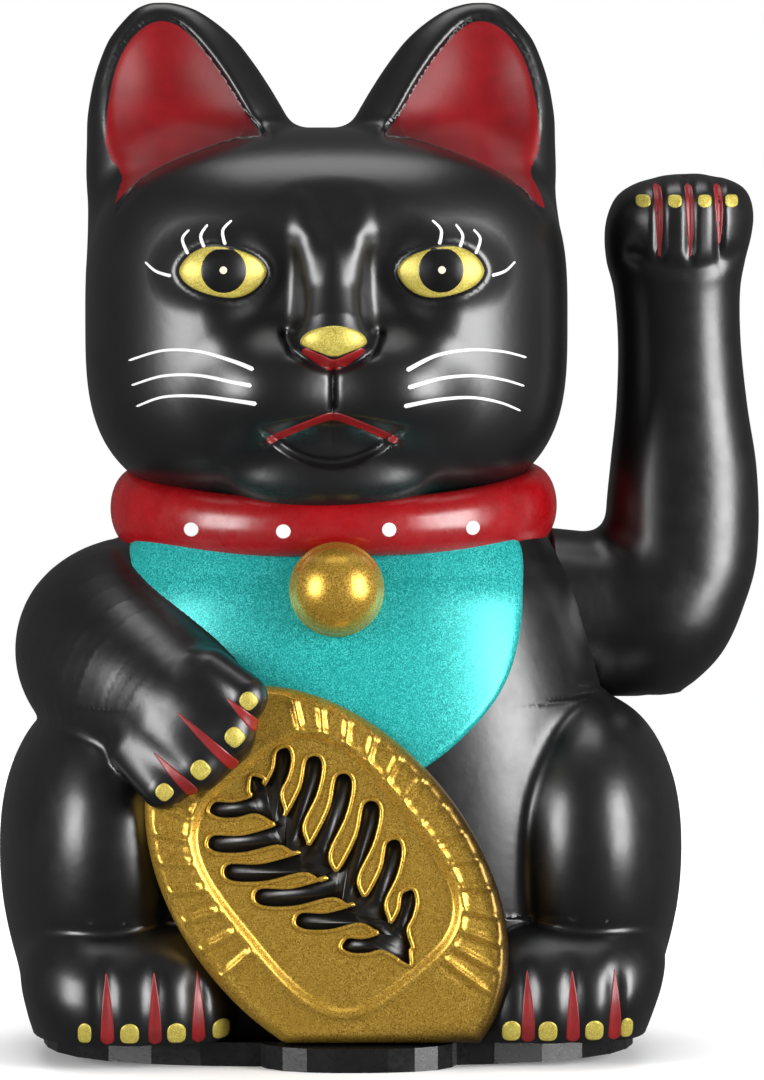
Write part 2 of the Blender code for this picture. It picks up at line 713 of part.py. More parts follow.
def bearing_bushes():
    """Flanged bushes; each flange is on the post's -X side."""
    for name, x in (("bearing_bush_inner", INNER_POST_X), ("bearing_bush_outer", OUTER_POST_X)):
        half = POST_THICKNESS / 2
        profile = [
            (BORE_RADIUS, half), (BUSH_RADIUS, half), (BUSH_RADIUS, -half - GAP),
            (BUSH_FLANGE_RADIUS, -half - GAP), (BUSH_FLANGE_RADIUS, -half - BUSH_FLANGE),
            (BORE_RADIUS, -half - BUSH_FLANGE),
        ]
        part(name, turned(name, profile, (x + half, AXIS_Y, AXIS_Z), "X", True, 20), "brass")


def pendulum():
    hub = cylinder((MIDDLE_X, AXIS_Y, AXIS_Z), LEVER_HUB_RADIUS, LEVER_HUB_LENGTH, "X", 20)
    half_x, half_y = LEVER_THICKNESS / 2, LEVER_WIDTH / 2
    bar_low = (MIDDLE_X - half_x, AXIS_Y - half_y, CUP_TOP - OVERLAP)
    bar = box(bar_low, (MIDDLE_X + half_x, AXIS_Y + half_y, AXIS_Z))
    cup_bottom = MAGNET_BOTTOM + MAGNET_SHOWING
    cup_radius = MAGNET_RADIUS + GAP + CUP_WALL
    cup_middle = (MIDDLE_X, AXIS_Y, (cup_bottom + CUP_TOP) / 2)
    cup = cylinder(cup_middle, cup_radius, CUP_TOP - cup_bottom, segments=24)
    pocket_top = MAGNET_BOTTOM + MAGNET_HEIGHT + GAP
    pocket_middle = (MIDDLE_X, AXIS_Y, pocket_top - BEYOND / 2)
    pocket = cylinder(pocket_middle, MAGNET_RADIUS + GAP, BEYOND, segments=24)
    bore = cylinder((MIDDLE_X, AXIS_Y, AXIS_Z), BORE_RADIUS, 3 * LEVER_HUB_LENGTH, "X", 16)
    screw_hole = cylinder((MIDDLE_X, AXIS_Y, WEIGHT_Z), SMALL_SHANK_RADIUS + GAP, BEYOND, "Y", 12)
    lever = part("pendulum_lever", cut(join(hub, bar, cup), pocket, bore, screw_hole), "white_plastic")

    magnet_profile = [(0, MAGNET_HEIGHT), (MAGNET_RADIUS, MAGNET_HEIGHT), (MAGNET_RADIUS, 0), (0, 0)]
    magnet = turned("magnet", magnet_profile, (MIDDLE_X, AXIS_Y, MAGNET_BOTTOM))
    magnet = part("pendulum_magnet", magnet, "magnet")

    weight = cylinder((MIDDLE_X, AXIS_Y, WEIGHT_Z), WEIGHT_RADIUS, WEIGHT_LENGTH, "X", 28)
    slot_x, slot_y = half_x + GAP, half_y + GAP
    slot = box((MIDDLE_X - slot_x, AXIS_Y - slot_y, 0), (MIDDLE_X + slot_x, AXIS_Y + slot_y, AXIS_Z))
    hole_middle = (MIDDLE_X, AXIS_Y - BEYOND / 2, WEIGHT_Z)
    hole = cylinder(hole_middle, SMALL_SHANK_RADIUS + GAP, BEYOND, "Y", 12)
    weight = part("counterweight", cut(weight, slot, hole), "steel")

    screw = screw_solid(SMALL_HEAD_RADIUS, SMALL_HEAD_HEIGHT, SMALL_SHANK_RADIUS, WEIGHT_RADIUS + 2 * MM)
    place = Matrix.Translation((MIDDLE_X, AXIS_Y - WEIGHT_RADIUS - GAP, WEIGHT_Z))
    screw.data.transform(place @ Matrix.Rotation(math.pi / 2, 4, "X"))
    screw = part("counterweight_screw", screw, "steel")
    return [lever, magnet, weight, screw]


# ---- fasteners -----------------------------------------------------------------------------------
def screw_solid(head_radius, head_height, shank_radius, length):
    """Pan head above the origin, shank below it, with a cross recess."""
    tip = 1.2 * MM
    profile = [
        (0, head_height), (head_radius * 0.8, head_height), (head_radius, 0),
        (shank_radius, 0), (shank_radius, -length + tip), (0, -length),
    ]
    screw = turned("screw", profile, steps=12)
    arm, half, deep = head_radius * 0.6, head_radius * 0.13, head_height * 0.55
    for size_x, size_y in ((arm, half), (half, arm)):
        cut(screw, box((-size_x, -size_y, deep), (size_x, size_y, 2 * head_height)))
    return screw


def base_screws():
    for name, (x, y) in BASE_SCREWS.items():
        screw = screw_solid(SCREW_HEAD_RADIUS, SCREW_HEAD_HEIGHT, SCREW_SHANK_RADIUS, SCREW_LENGTH)
        seat = SCREW_HEAD_HEIGHT + GAP
        screw.data.transform(Matrix.Translation((x, y, seat)) @ Matrix.Rotation(math.pi, 4, "X"))
        part(name, screw, "steel")


def small_screw(name, x, y, seat):
    screw = screw_solid(SMALL_HEAD_RADIUS, SMALL_HEAD_HEIGHT, SMALL_SHANK_RADIUS, SMALL_SCREW_LENGTH)
    screw.data.transform(Matrix.Translation((x, y, seat + GAP)))
    part(name, screw, "steel")


# ---- mechanism frame and coil --------------------------------------------------------------------
FRAME_SCREW_Y = SLAB_FRONT + 4.0 * MM
FRAME_SCREWS = {"frame_screw_1": INNER_POST_X + 3.0 * MM, "frame_screw_2": OUTER_POST_X}
BOARD_SCREWS = {
    "board_screw_1": (BOARD_LOW.x + BOARD_SCREW_INSET, BOARD_LOW.y + BOARD_SCREW_INSET),
    "board_screw_2": (BOARD_HIGH.x - BOARD_SCREW_INSET, BOARD_HIGH.y - BOARD_SCREW_INSET),
}


def mechanism_frame():
    low_x = INNER_POST_X - SLAB_MARGIN
    high_x = OUTER_POST_X + POST_THICKNESS + SLAB_MARGIN
    slab = box((low_x, SLAB_FRONT, SLAB_BOTTOM), (high_x, SLAB_BACK, SLAB_TOP))
    shapes = []
    for x in (INNER_POST_X, OUTER_POST_X):
        half = POST_WIDTH / 2
        post_low = (x, AXIS_Y - half, SLAB_TOP - OVERLAP)
        shapes.append(box(post_low, (x + POST_THICKNESS, AXIS_Y + half, AXIS_Z)))
        head = (x + POST_THICKNESS / 2, AXIS_Y, AXIS_Z)
        shapes.append(cylinder(head, half * 0.99, POST_THICKNESS * 0.98, "X", 28))
    frame = join(slab, *shapes)
    reach = 4 * POST_SPACING
    cut(frame, cylinder((MIDDLE_X, AXIS_Y, AXIS_Z), BUSH_RADIUS + GAP, reach, "X", 20))
    for x in FRAME_SCREWS.values():
        cut(frame, cylinder((x, FRAME_SCREW_Y, SLAB_BOTTOM), SMALL_SHANK_RADIUS + GAP, BEYOND, segments=12))
    part("mechanism_frame", frame, "white_plastic")
    for name, x in FRAME_SCREWS.items():
        small_screw(name, x, FRAME_SCREW_Y, SLAB_TOP)


def drive_coil():
    spool = [
        (COIL_BORE, COIL_HEIGHT), (COIL_RADIUS, COIL_HEIGHT), (COIL_RADIUS, COIL_HEIGHT - COIL_FLANGE),
        (COIL_CORE, COIL_HEIGHT - COIL_FLANGE), (COIL_CORE, COIL_FLANGE), (COIL_RADIUS, COIL_FLANGE),
        (COIL_RADIUS, 0), (COIL_BORE, 0),
    ]
    middle = (MIDDLE_X, AXIS_Y, COIL_BOTTOM)
    part("coil_bobbin", turned("bobbin", spool, middle, closed=True, steps=22), "white_plastic")
    inner, outer = COIL_CORE + GAP, COIL_RADIUS - 0.8 * MM
    top, bottom = COIL_HEIGHT - COIL_FLANGE - GAP, COIL_FLANGE + GAP
    winding = [(inner, top), (outer, top), (outer, bottom), (inner, bottom)]
    part("coil_winding", turned("winding", winding, middle, closed=True, steps=22), "copper")


# ---- base plate, battery and switch --------------------------------------------------------------
def base_outline(inset, low, high):
    half_x = BASE_HALF_X * WIDE - inset
    half_y = (BASE_BACK - BASE_FRONT) * DEEP / 2 - inset
    middle_y = (BASE_BACK + BASE_FRONT) * DEEP / 2
    shape = superellipse(BASE_ROUNDNESS, 40)
    rings = [[Vector((u * half_x, middle_y + v * half_y, z)) for u, v in shape] for z in (low, high)]
    return skin(rings)


def base_bulge(inset, low, high):
    """The step that carries the coin, an elliptic cylinder."""
    radius_y = 16.0 * DEEP
    middle = Vector((BULGE_MIDDLE_X * WIDE, BULGE_FRONT * DEEP + radius_y, 0))
    shape = superellipse(2.6, 24)
    radius_x = BULGE_RADIUS_X * WIDE
    rings = [
        [middle + Vector((u * (radius_x - inset), v * (radius_y - inset), z)) for u, v in shape]
        for z in (low, high)
    ]
    return skin(rings)


def base_plate():
    step = 0.02 * MM  # keeps the joined faces out of one plane
    plate = join(base_outline(0, 0, BASE_HEIGHT), base_bulge(0, step, BASE_HEIGHT - step))
    tray = base_outline(BASE_RIM, BASE_FLOOR, 3 * BASE_HEIGHT)
    plate = cut(plate, tray)
    trough_half_x = HOLLOW_HALF_X + TROUGH_WALL
    trough_half_y = HOLLOW_HALF_Y + TROUGH_WALL
    trough_top = HOLLOW_TOP + TROUGH_WALL
    skin_step = 0.1 * MM
    shapes = [
        box(
            (-trough_half_x, CELL_Y - trough_half_y, skin_step),
            (trough_half_x, CELL_Y + trough_half_y, trough_top),
        ),
        box(
            (-trough_half_x - DOOR_TONGUE, CELL_Y - trough_half_y - OVERLAP, skin_step),
            (trough_half_x + DOOR_TONGUE, BASE_BACK * DEEP - BASE_RIM / 2, BASE_HEIGHT - skin_step),
        ),
    ]
    floor_top = BASE_FLOOR - 0.5 * MM
    seat_low = 0.5 * MM
    seat_height = BASE_HEIGHT - 0.05 * MM - seat_low
    for x, y in BASE_SCREWS.values():
        seat_middle = (x, y, seat_low + seat_height / 2)
        shapes.append(cylinder(seat_middle, SCREW_HEAD_RADIUS + SEAT_WALL, seat_height, segments=20))
    slab_support = SLAB_BOTTOM - GAP
    for x in FRAME_SCREWS.values():
        for y in (FRAME_SCREW_Y, SLAB_BACK - 3.5 * MM):
            middle = (x, y, (floor_top + slab_support) / 2)
            shapes.append(cylinder(middle, SMALL_BOSS_RADIUS, slab_support - floor_top, segments=16))
    board_support = BOARD_LOW.z - GAP
    for x, y in BOARD_SCREWS.values():
        middle = (x, y, (floor_top + board_support) / 2)
        shapes.append(cylinder(middle, SMALL_BOSS_RADIUS, board_support - floor_top, segments=16))
    plate = join(plate, *shapes)

    door_half = HOLLOW_HALF_X + GAP
    door_front = CELL_Y - HOLLOW_HALF_Y - GAP
    beyond = (BASE_BACK + 10) * DEEP
    tongue_low = DOOR_BOTTOM + DOOR_THICKNESS / 2 - GAP
    cuts = [
        box(
            (-HOLLOW_HALF_X, CELL_Y - HOLLOW_HALF_Y, DOOR_BOTTOM),
            (HOLLOW_HALF_X, CELL_Y + HOLLOW_HALF_Y, HOLLOW_TOP),
        ),
        box((-door_half, door_front, -1 * MM), (door_half, beyond, DOOR_TOP + GAP)),
        box(
            (-door_half - DOOR_TONGUE + GAP, door_front - 0.1 * MM, tongue_low),
            (door_half + DOOR_TONGUE - GAP, beyond, DOOR_TOP + GAP - 0.05 * MM),
        ),
        box(
            (SWITCH_X - KNOB_SIZE.x / 2 - SWITCH_TRAVEL / 2 - GAP, SWITCH_Y - KNOB_SIZE.y / 2 - GAP, -MM),
            (SWITCH_X + KNOB_SIZE.x / 2 + SWITCH_TRAVEL / 2 + GAP, SWITCH_Y + KNOB_SIZE.y / 2 + GAP, 3 * MM),
        ),
    ]
    for x, y in BASE_SCREWS.values():
        counterbore = SCREW_HEAD_HEIGHT + 2 * GAP
        bore_middle = (x, y, counterbore / 2 - OVERLAP)
        cuts.append(cylinder(bore_middle, SCREW_HEAD_RADIUS + GAP, counterbore + 2 * OVERLAP, segments=20))
        cuts.append(cylinder((x, y, 0), SCREW_SHANK_RADIUS + GAP, 2 * BEYOND, segments=16))
    pilot = SMALL_SHANK_RADIUS + GAP
    pilot_length = 2 * SMALL_SCREW_LENGTH - 2 * OVERLAP
    for x in FRAME_SCREWS.values():
        cuts.append(cylinder((x, FRAME_SCREW_Y, SLAB_BOTTOM), pilot, pilot_length, segments=12))
    for x, y in BOARD_SCREWS.values():
        cuts.append(cylinder((x, y, BOARD_LOW.z), pilot, pilot_length, segments=12))
    part("base_plate", cut(plate, *cuts), "base_black")


def battery_door():
    half = HOLLOW_HALF_X
    front = CELL_Y - HOLLOW_HALF_Y
    back = BASE_BACK * DEEP - 0.6 * MM
    door = box((-half, front, DOOR_BOTTOM), (half, back, DOOR_TOP))
    tongue_low = DOOR_BOTTOM + DOOR_THICKNESS / 2
    tongue = half + DOOR_TONGUE - 2 * GAP
    tongue_top = DOOR_TOP - 0.1 * MM
    tongues = box((-tongue, front + 0.2 * MM, tongue_low), (tongue, back - GRIP_MARGIN, tongue_top))
    door = join(door, tongues)
    grips = []
    for step in range(GRIP_COUNT):
        y = back - GRIP_MARGIN - GRIP_PITCH * step
        low = (-GRIP_LENGTH / 2, y - GRIP_WIDTH / 2, -OVERLAP)
        grips.append(box(low, (GRIP_LENGTH / 2, y + GRIP_WIDTH / 2, DOOR_BOTTOM + GRIP_DEPTH)))
    door = part("battery_door", cut(door, *grips), "base_black")
    origin = Vector((0, (front + back) / 2, DOOR_BOTTOM))
    door.data.transform(Matrix.Translation(-origin))
    door.location = origin


def battery():
    half = CELL_LENGTH / 2
    cap, step, edge = 2.7 * MM, 1.2 * MM, 0.6 * MM
    profile = [
        (0, half), (cap, half), (cap, half - step), (CELL_RADIUS - edge, half - step),
        (CELL_RADIUS, half - step - edge), (CELL_RADIUS, -half + edge),
        (CELL_RADIUS - edge, -half), (0, -half),
    ]
    part("battery_cell", turned("cell", profile, (CELL_X, CELL_Y, CELL_Z), "X"), "cell_label")
    low_x = CELL_X + half + GAP
    half_wide, half_high = 4 * MM, 5 * MM
    contact = box(
        (low_x, CELL_Y - half_wide, CELL_Z - half_high),
        (low_x + CONTACT_THICKNESS, CELL_Y + half_wide, CELL_Z + half_high),
    )
    part("battery_contact", contact, "steel")


def curve_piece(name, points, radius, finish):
    curve = bpy.data.curves.new(name, "CURVE")
    curve.dimensions = "3D"
    curve.bevel_depth = radius
    curve.bevel_resolution = 2
    curve.use_fill_caps = True
    spline = curve.splines.new("POLY")
    spline.points.add(len(points) - 1)
    for spot, point in zip(spline.points, points):
        spot.co = (*point, 1.0)
    obj = bpy.data.objects.new(name, curve)
    curve.materials.append(material(finish))
    PARTS.objects.link(obj)
    return obj


def battery_spring():
    """A conical coil spring, wide at the wall of the battery hollow."""
    wire, turns, steps = 0.35 * MM, 3.0, 11
    start = -HOLLOW_HALF_X + GAP + wire
    end = CELL_X - CELL_LENGTH / 2 - GAP - wire
    points = []
    count = int(turns * steps)
    for step in range(count + 1):
        along = step / count
        angle = 2 * math.pi * turns * along
        radius = (4.6 - 2.2 * along) * MM
        points.append((
            start + (end - start) * along,
            CELL_Y + radius * math.cos(angle),
            CELL_Z + radius * math.sin(angle),
        ))
    curve_piece("battery_spring", points, wire, "steel")


def smooth_route(points, steps):
    """Points along a Catmull-Rom curve through the route's own points."""
    route = [Vector(point) for point in points]
    route = [2 * route[0] - route[1], *route, 2 * route[-1] - route[-2]]
    found = []
    for a, b, c, d in zip(route, route[1:], route[2:], route[3:]):
        for step in range(steps):
            t = step / steps
            square, cube = 2 * a - 5 * b + 4 * c - d, 3 * b - a - 3 * c + d
            found.append(0.5 * (2 * b + (c - a) * t + square * t**2 + cube * t**3))
    found.append(route[-2])
    return found


def leads():
    board_top = BOARD_HIGH.z + LEAD_RADIUS + GAP
    trough_front = CELL_Y - HOLLOW_HALF_Y - TROUGH_WALL - GAP - LEAD_RADIUS
    trough_side = HOLLOW_HALF_X + TROUGH_WALL
    low = BASE_FLOOR + GAP + LEAD_RADIUS
    board_back = BOARD_HIGH.y - 3 * MM
    coil_y = AXIS_Y - COIL_RADIUS - GAP - LEAD_RADIUS
    coil_z = COIL_BOTTOM + COIL_HEIGHT / 2
    board_x = BOARD_HIGH.x - 4 * MM
    routes = {
        "lead_coil": ([
            (MIDDLE_X - 2 * MM, coil_y, coil_z),
            (MIDDLE_X - 4 * MM, coil_y - 3 * MM, coil_z + 1 * MM),
            (INNER_POST_X - 2 * MM, coil_y - 3 * MM, coil_z + 2 * MM),
            (BOARD_HIGH.x + 1 * MM, coil_y - 2 * MM, board_top + 2 * MM),
            (board_x, coil_y - 1 * MM, board_top),
        ], "red_lead"),
        "lead_battery_minus": ([
            (-trough_side + 4 * MM, trough_front, CELL_Z),
            (-trough_side + 5 * MM, trough_front - 2 * MM, CELL_Z + 2 * MM),
            (BOARD_LOW.x + 5 * MM, board_back, board_top + 1.5 * MM),
            (BOARD_LOW.x + 6 * MM, board_back - 3 * MM, board_top),
        ], "black_lead"),
        "lead_battery_plus": ([
            (BOARD_RIGHT + 1 * MM, trough_front, CELL_Z + 2 * MM),
            (BOARD_RIGHT - 0.5 * MM, trough_front - 2.5 * MM, CELL_Z + 3 * MM),
            (BOARD_RIGHT - 8 * MM, board_back + 1 * MM, board_top + 1.5 * MM),
            (BOARD_RIGHT - 9 * MM, board_back - 3 * MM, board_top),
        ], "red_lead"),
        "lead_switch": ([
            (SWITCH_X, SWITCH_Y - 5.5 * MM, low + 1 * MM),
            (SWITCH_X + 1 * MM, SWITCH_Y - 9 * MM, low + 1.5 * MM),
            (SWITCH_X + 5 * MM, SWITCH_Y - 11 * MM, board_top + 1 * MM),
            (BOARD_LOW.x + 1 * MM, SWITCH_Y - 9 * MM, board_top + 1.5 * MM),
            (BOARD_LOW.x + 4 * MM, SWITCH_Y - 8 * MM, board_top),
        ], "red_lead"),
    }
    for name, (points, finish) in routes.items():
        curve_piece(name, smooth_route(points, 3), LEAD_RADIUS, finish)


def circuit_board():
    board = box(BOARD_LOW, BOARD_HIGH)
    for name, (x, y) in BOARD_SCREWS.items():
        cut(board, cylinder((x, y, BOARD_LOW.z), SMALL_SHANK_RADIUS + GAP, 20 * MM, segments=12))
        small_screw(name, x, y, BOARD_HIGH.z)
    part("circuit_board", board, "board_green")
    seat = BOARD_HIGH.z + GAP
    can = [
        (0, CAPACITOR_HEIGHT), (CAPACITOR_RADIUS - 0.4 * MM, CAPACITOR_HEIGHT),
        (CAPACITOR_RADIUS, CAPACITOR_HEIGHT - 0.4 * MM), (CAPACITOR_RADIUS, 0), (0, 0),
    ]
    can_place = (BOARD_HIGH.x - 13 * MM, BOARD_LOW.y + 5 * MM, seat)
    part("capacitor", turned("can", can, can_place, steps=20), "cell_label")
    middle = Vector((BOARD_LOW.x + 16 * MM, BOARD_LOW.y + 10 * MM, seat + TRANSISTOR_HEIGHT / 2))
    body = cylinder(middle, TRANSISTOR_RADIUS, TRANSISTOR_HEIGHT, segments=20)
    flat = box(middle - Vector((5, 5, 5)) * MM, middle + Vector((5, -1, 5)) * MM)
    part("drive_transistor", cut(body, flat), "black_plastic")


def power_switch():
    half_flange = KNOB_FLANGE / 2
    inner_x = half_flange.x + SWITCH_TRAVEL / 2 + GAP
    inner_y = half_flange.y + GAP
    low = BASE_FLOOR + GAP
    wall, top = 1.0 * MM, low + 5.0 * MM
    housing = box(
        (SWITCH_X - inner_x - wall, SWITCH_Y - inner_y - wall, low),
        (SWITCH_X + inner_x + wall, SWITCH_Y + inner_y + wall, top),
    )
    room = box(
        (SWITCH_X - inner_x, SWITCH_Y - inner_y, 0),
        (SWITCH_X + inner_x, SWITCH_Y + inner_y, top - wall),
    )
    part("switch_housing", cut(housing, room), "black_plastic")
    rest = Vector((SWITCH_X - SWITCH_TRAVEL / 2, SWITCH_Y, 0))
    stem = box(
        (-KNOB_SIZE.x / 2, -KNOB_SIZE.y / 2, KNOB_BOTTOM),
        (KNOB_SIZE.x / 2, KNOB_SIZE.y / 2, KNOB_BOTTOM + KNOB_SIZE.z),
    )
    flange = box(
        (-half_flange.x, -half_flange.y, KNOB_FLANGE_BOTTOM),
        (half_flange.x, half_flange.y, KNOB_FLANGE_BOTTOM + KNOB_FLANGE.z),
    )
    grooves = []
    for step in (-1, 0, 1):
        x = step * 1.1 * MM
        grooves.append(box((x - 0.25 * MM, -5 * MM, -MM), (x + 0.25 * MM, 5 * MM, KNOB_BOTTOM + 0.4 * MM)))
    knob = part("switch_knob", cut(join(stem, flange), *grooves), "white_plastic")
    knob.location = rest


def hang_on_axis(pieces):
    """An empty on the shoulder axis carries everything that swings."""
    pivot = bpy.data.objects.new("arm_pivot", None)
    pivot.location = (SHOULDER_X, AXIS_Y, AXIS_Z)
    PARTS.objects.link(pivot)
    bpy.context.view_layer.update()
    for piece in pieces:
        piece.parent = pivot
        piece.matrix_parent_inverse = pivot.matrix_world.inverted()


body_shells()
base_plate()
base_screws()
battery_door()
battery()
battery_spring()
power_switch()
circuit_board()
mechanism_frame()
bearing_bushes()
drive_coil()
leads()
hang_on_axis([*arm_shells(), arm_hub(), axle(), *axle_clips(), *pendulum()])
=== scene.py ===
"""Looks of the beckoning cat figurine: sculpted shells, painted details, materials, light and camera."""

import math

import bmesh
import bpy
import numpy as np
from mathutils import Matrix, Vector


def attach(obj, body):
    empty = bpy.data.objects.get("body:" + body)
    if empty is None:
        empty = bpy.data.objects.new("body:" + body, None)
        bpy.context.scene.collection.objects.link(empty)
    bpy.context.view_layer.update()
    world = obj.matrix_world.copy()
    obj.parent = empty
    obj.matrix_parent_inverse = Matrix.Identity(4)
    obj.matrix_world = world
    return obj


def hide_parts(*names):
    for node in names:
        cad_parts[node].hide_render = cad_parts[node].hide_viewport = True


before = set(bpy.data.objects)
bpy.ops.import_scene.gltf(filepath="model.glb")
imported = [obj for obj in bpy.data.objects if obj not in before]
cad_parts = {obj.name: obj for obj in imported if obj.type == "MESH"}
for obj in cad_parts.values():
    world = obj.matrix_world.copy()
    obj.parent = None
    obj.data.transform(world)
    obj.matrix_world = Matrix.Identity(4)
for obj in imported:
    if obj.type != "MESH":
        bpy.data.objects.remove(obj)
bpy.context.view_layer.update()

# All sculpting is in millimetres in the frame of the CAD model; meshes are scaled to metres when made.
MM = 0.001
# Sides of the grids' cells, and the grids' corners.
HEAD_STEP = 0.6
BODY_STEP = 0.9
ARM_STEP = 0.75
CAVITY_STEP = 2.4
COLLAR_STEP = 0.8
BELL_STEP = 0.42
HEAD_GRID = ((-52.0, -56.0, 98.0), (47.0, 42.0, 202.0))
HEAD_HOLLOW_GRID = ((-50.0, -50.0, 97.0), (45.0, 42.0, 178.0))
BODY_GRID = ((-70.0, -60.0, -8.0), (70.0, 52.0, 114.0))
BODY_HOLLOW_GRID = ((-68.0, -58.0, -8.0), (68.0, 50.0, 114.0))
ARM_GRID = ((38.0, -16.0, 62.0), (86.0, 24.0, 170.0))
COLLAR_GRID = ((-46.0, -45.0, 91.0), (45.0, 42.0, 117.0))
BELL_GRID = ((-12.0, -56.0, 80.0), (8.0, -32.0, 102.0))
# The mouldings, as in the CAD.
WALL = 2.2
ARM_WALL = 1.6
SEAM_Y = 4.0
SEAM_HALF_GAP = 0.15
SHELL_BOTTOM = 4.8
SCREW_REACH = 17.8
BEYOND = 90.0
NECK_Z = 103.0
AXIS_Y, AXIS_Z = 4.0, 82.3
SHOULDER_X = 41.3
ARM_RADIUS = 16.4
ARM_REACH = 16.8
POCKET_RADIUS = 17.2
POCKET_X = 40.3
AXLE_HOLE = 2.3
HUB_HOLE = 4.3
BASE_SCREW_X, BASE_SCREW_FRONT, BASE_SCREW_BACK = 38.0, -27.0, 24.0
BOSS_RADIUS, BOSS_TOP, SCREW_HOLE = 3.6, 18.8, 1.45


# ---- curves --------------------------------------------------------------------------------------
def spline(points, count, closed=False):
    """Points along a Catmull-Rom curve through the given ones, at equal steps of its parameter."""
    points = np.asarray(points, float)
    last = len(points) if closed else len(points) - 1
    at = np.linspace(0, last, count, endpoint=not closed)
    index = np.minimum(at.astype(int), last - 1)
    part = (at - index)[:, None]
    if closed:
        take = lambda i: points[i % len(points)]
    else:
        take = lambda i: points[np.clip(i, 0, len(points) - 1)]
    before, here, after, beyond = take(index - 1), take(index), take(index + 1), take(index + 2)
    return 0.5 * (
        2 * here
        + (after - before) * part
        + (2 * before - 5 * here + 4 * after - beyond) * part**2
        + (3 * here - before - 3 * after + beyond) * part**3
    )


def evened(points, count):
    """The same open line with its points at equal distances."""
    along = np.concatenate([[0.0], np.cumsum(np.linalg.norm(np.diff(points, axis=0), axis=1))])
    at = np.linspace(0, along[-1], count)
    return np.stack([np.interp(at, along, column) for column in points.T], axis=1)


def smooth_step(low, high, value):
    t = np.clip((value - low) / (high - low), 0, 1)
    return t * t * (3 - 2 * t)


# ---- distance functions --------------------------------------------------------------------------
def blend(a, b, reach):
    """The union of two solids with a fillet."""
    near = np.maximum(reach - np.abs(a - b), 0.0) / reach
    return np.minimum(a, b) - near * near * reach / 4


def carve(a, b, reach):
    """Solid a without solid b, with a rounded edge."""
    return -blend(-a, b, reach)


def ellipsoid(x, y, z, middle, radii):
    px, py, pz = (x - middle[0]), (y - middle[1]), (z - middle[2])
    rx, ry, rz = radii
    size = np.sqrt((px / rx) ** 2 + (py / ry) ** 2 + (pz / rz) ** 2)
    steep = np.sqrt((px / rx**2) ** 2 + (py / ry**2) ** 2 + (pz / rz**2) ** 2)
    return size * (size - 1) / np.maximum(steep, 1e-6)


def pillow(x, y, z, middle, half, plan, upright):
    """A superellipsoid; plan and upright are its exponents seen from above and from the side."""
    px = np.abs(x - middle[0]) / half[0]
    py = np.abs(y - middle[1]) / half[1]
    pz = np.abs(z - middle[2]) / half[2]
    flat = np.maximum((px**plan + py**plan) ** (1 / plan), 1e-6)
    size = np.maximum((flat**upright + pz**upright) ** (1 / upright), 1e-6)
    outward = (flat / size) ** (upright - 1)
    gx = outward * (px / flat) ** (plan - 1) / half[0]
    gy = outward * (py / flat) ** (plan - 1) / half[1]
    gz = (pz / size) ** (upright - 1) / half[2]
    return (size - 1) / np.maximum(np.sqrt(gx * gx + gy * gy + gz * gz), 1e-3)


class Loft:
    """A solid through superellipse rings: height, middle x, half width, front y, back y."""

    def __init__(self, rings, roundness):
        table = spline(np.array(rings, float), 400)
        self.low, self.high = table[0, 0], table[-1, 0]
        self.height = table[:, 0]
        self.middle_x = table[:, 1]
        self.half_x = np.maximum(table[:, 2], 0.3)
        self.middle_y = (table[:, 3] + table[:, 4]) / 2
        self.half_y = np.maximum((table[:, 4] - table[:, 3]) / 2, 0.3)
        self.slope = np.gradient(np.log(self.half_x), self.height)
        self.roundness = roundness

    def __call__(self, x, y, z):
        at = np.clip(z, self.low, self.high)
        half_x = np.interp(at, self.height, self.half_x)
        half_y = np.interp(at, self.height, self.half_y)
        px = np.abs(x - np.interp(at, self.height, self.middle_x)) / half_x
        py = np.abs(y - np.interp(at, self.height, self.middle_y)) / half_y
        n = self.roundness
        size = np.maximum((px**n + py**n) ** (1 / n), 1e-6)
        gx = (px / size) ** (n - 1) / half_x
        gy = (py / size) ** (n - 1) / half_y
        gz = np.clip(size * np.interp(at, self.height, self.slope), -1.0, 1.0)
        side = (size - 1) / np.sqrt(gx * gx + gy * gy + gz * gz)
        return np.maximum(side, np.maximum(z - self.high, self.low - z))


def limb(x, y, z, stations, reach=2.0):
    """Tapering capsules along a line of (middle, radius)."""
    found = None
    for (a, ra), (b, rb) in zip(stations, stations[1:]):
        a, b = np.array(a, float), np.array(b, float)
        along = b - a
        px, py, pz = x - a[0], y - a[1], z - a[2]
        t = np.clip((px * along[0] + py * along[1] + pz * along[2]) / (along @ along), 0, 1)
        gap = np.sqrt((px - t * along[0]) ** 2 + (py - t * along[1]) ** 2 + (pz - t * along[2]) ** 2)
        one = gap - (ra + t * (rb - ra))
        found = one if found is None else blend(found, one, reach)
    return found


def rod_along_x(x, y, z, middle_y, middle_z, radius, from_x, to_x):
    gap = np.sqrt((y - middle_y) ** 2 + (z - middle_z) ** 2) - radius
    ends = np.maximum(from_x - x, x - to_x)
    outside = np.sqrt(np.maximum(gap, 0) ** 2 + np.maximum(ends, 0) ** 2)
    return outside + np.minimum(np.maximum(gap, ends), 0)


def line_gap(u, v, points):
    """Distance in a plane to an open line of points."""
    found = np.full(np.shape(u), 1e3)
    for (au, av), (bu, bv) in zip(points, points[1:]):
        du, dv = bu - au, bv - av
        t = np.clip(((u - au) * du + (v - av) * dv) / (du * du + dv * dv), 0, 1)
        found = np.minimum(found, np.hypot(u - au - t * du, v - av - t * dv))
    return found


def groove(gap, depth, half_width):
    return depth * np.exp(-((gap / half_width) ** 2))


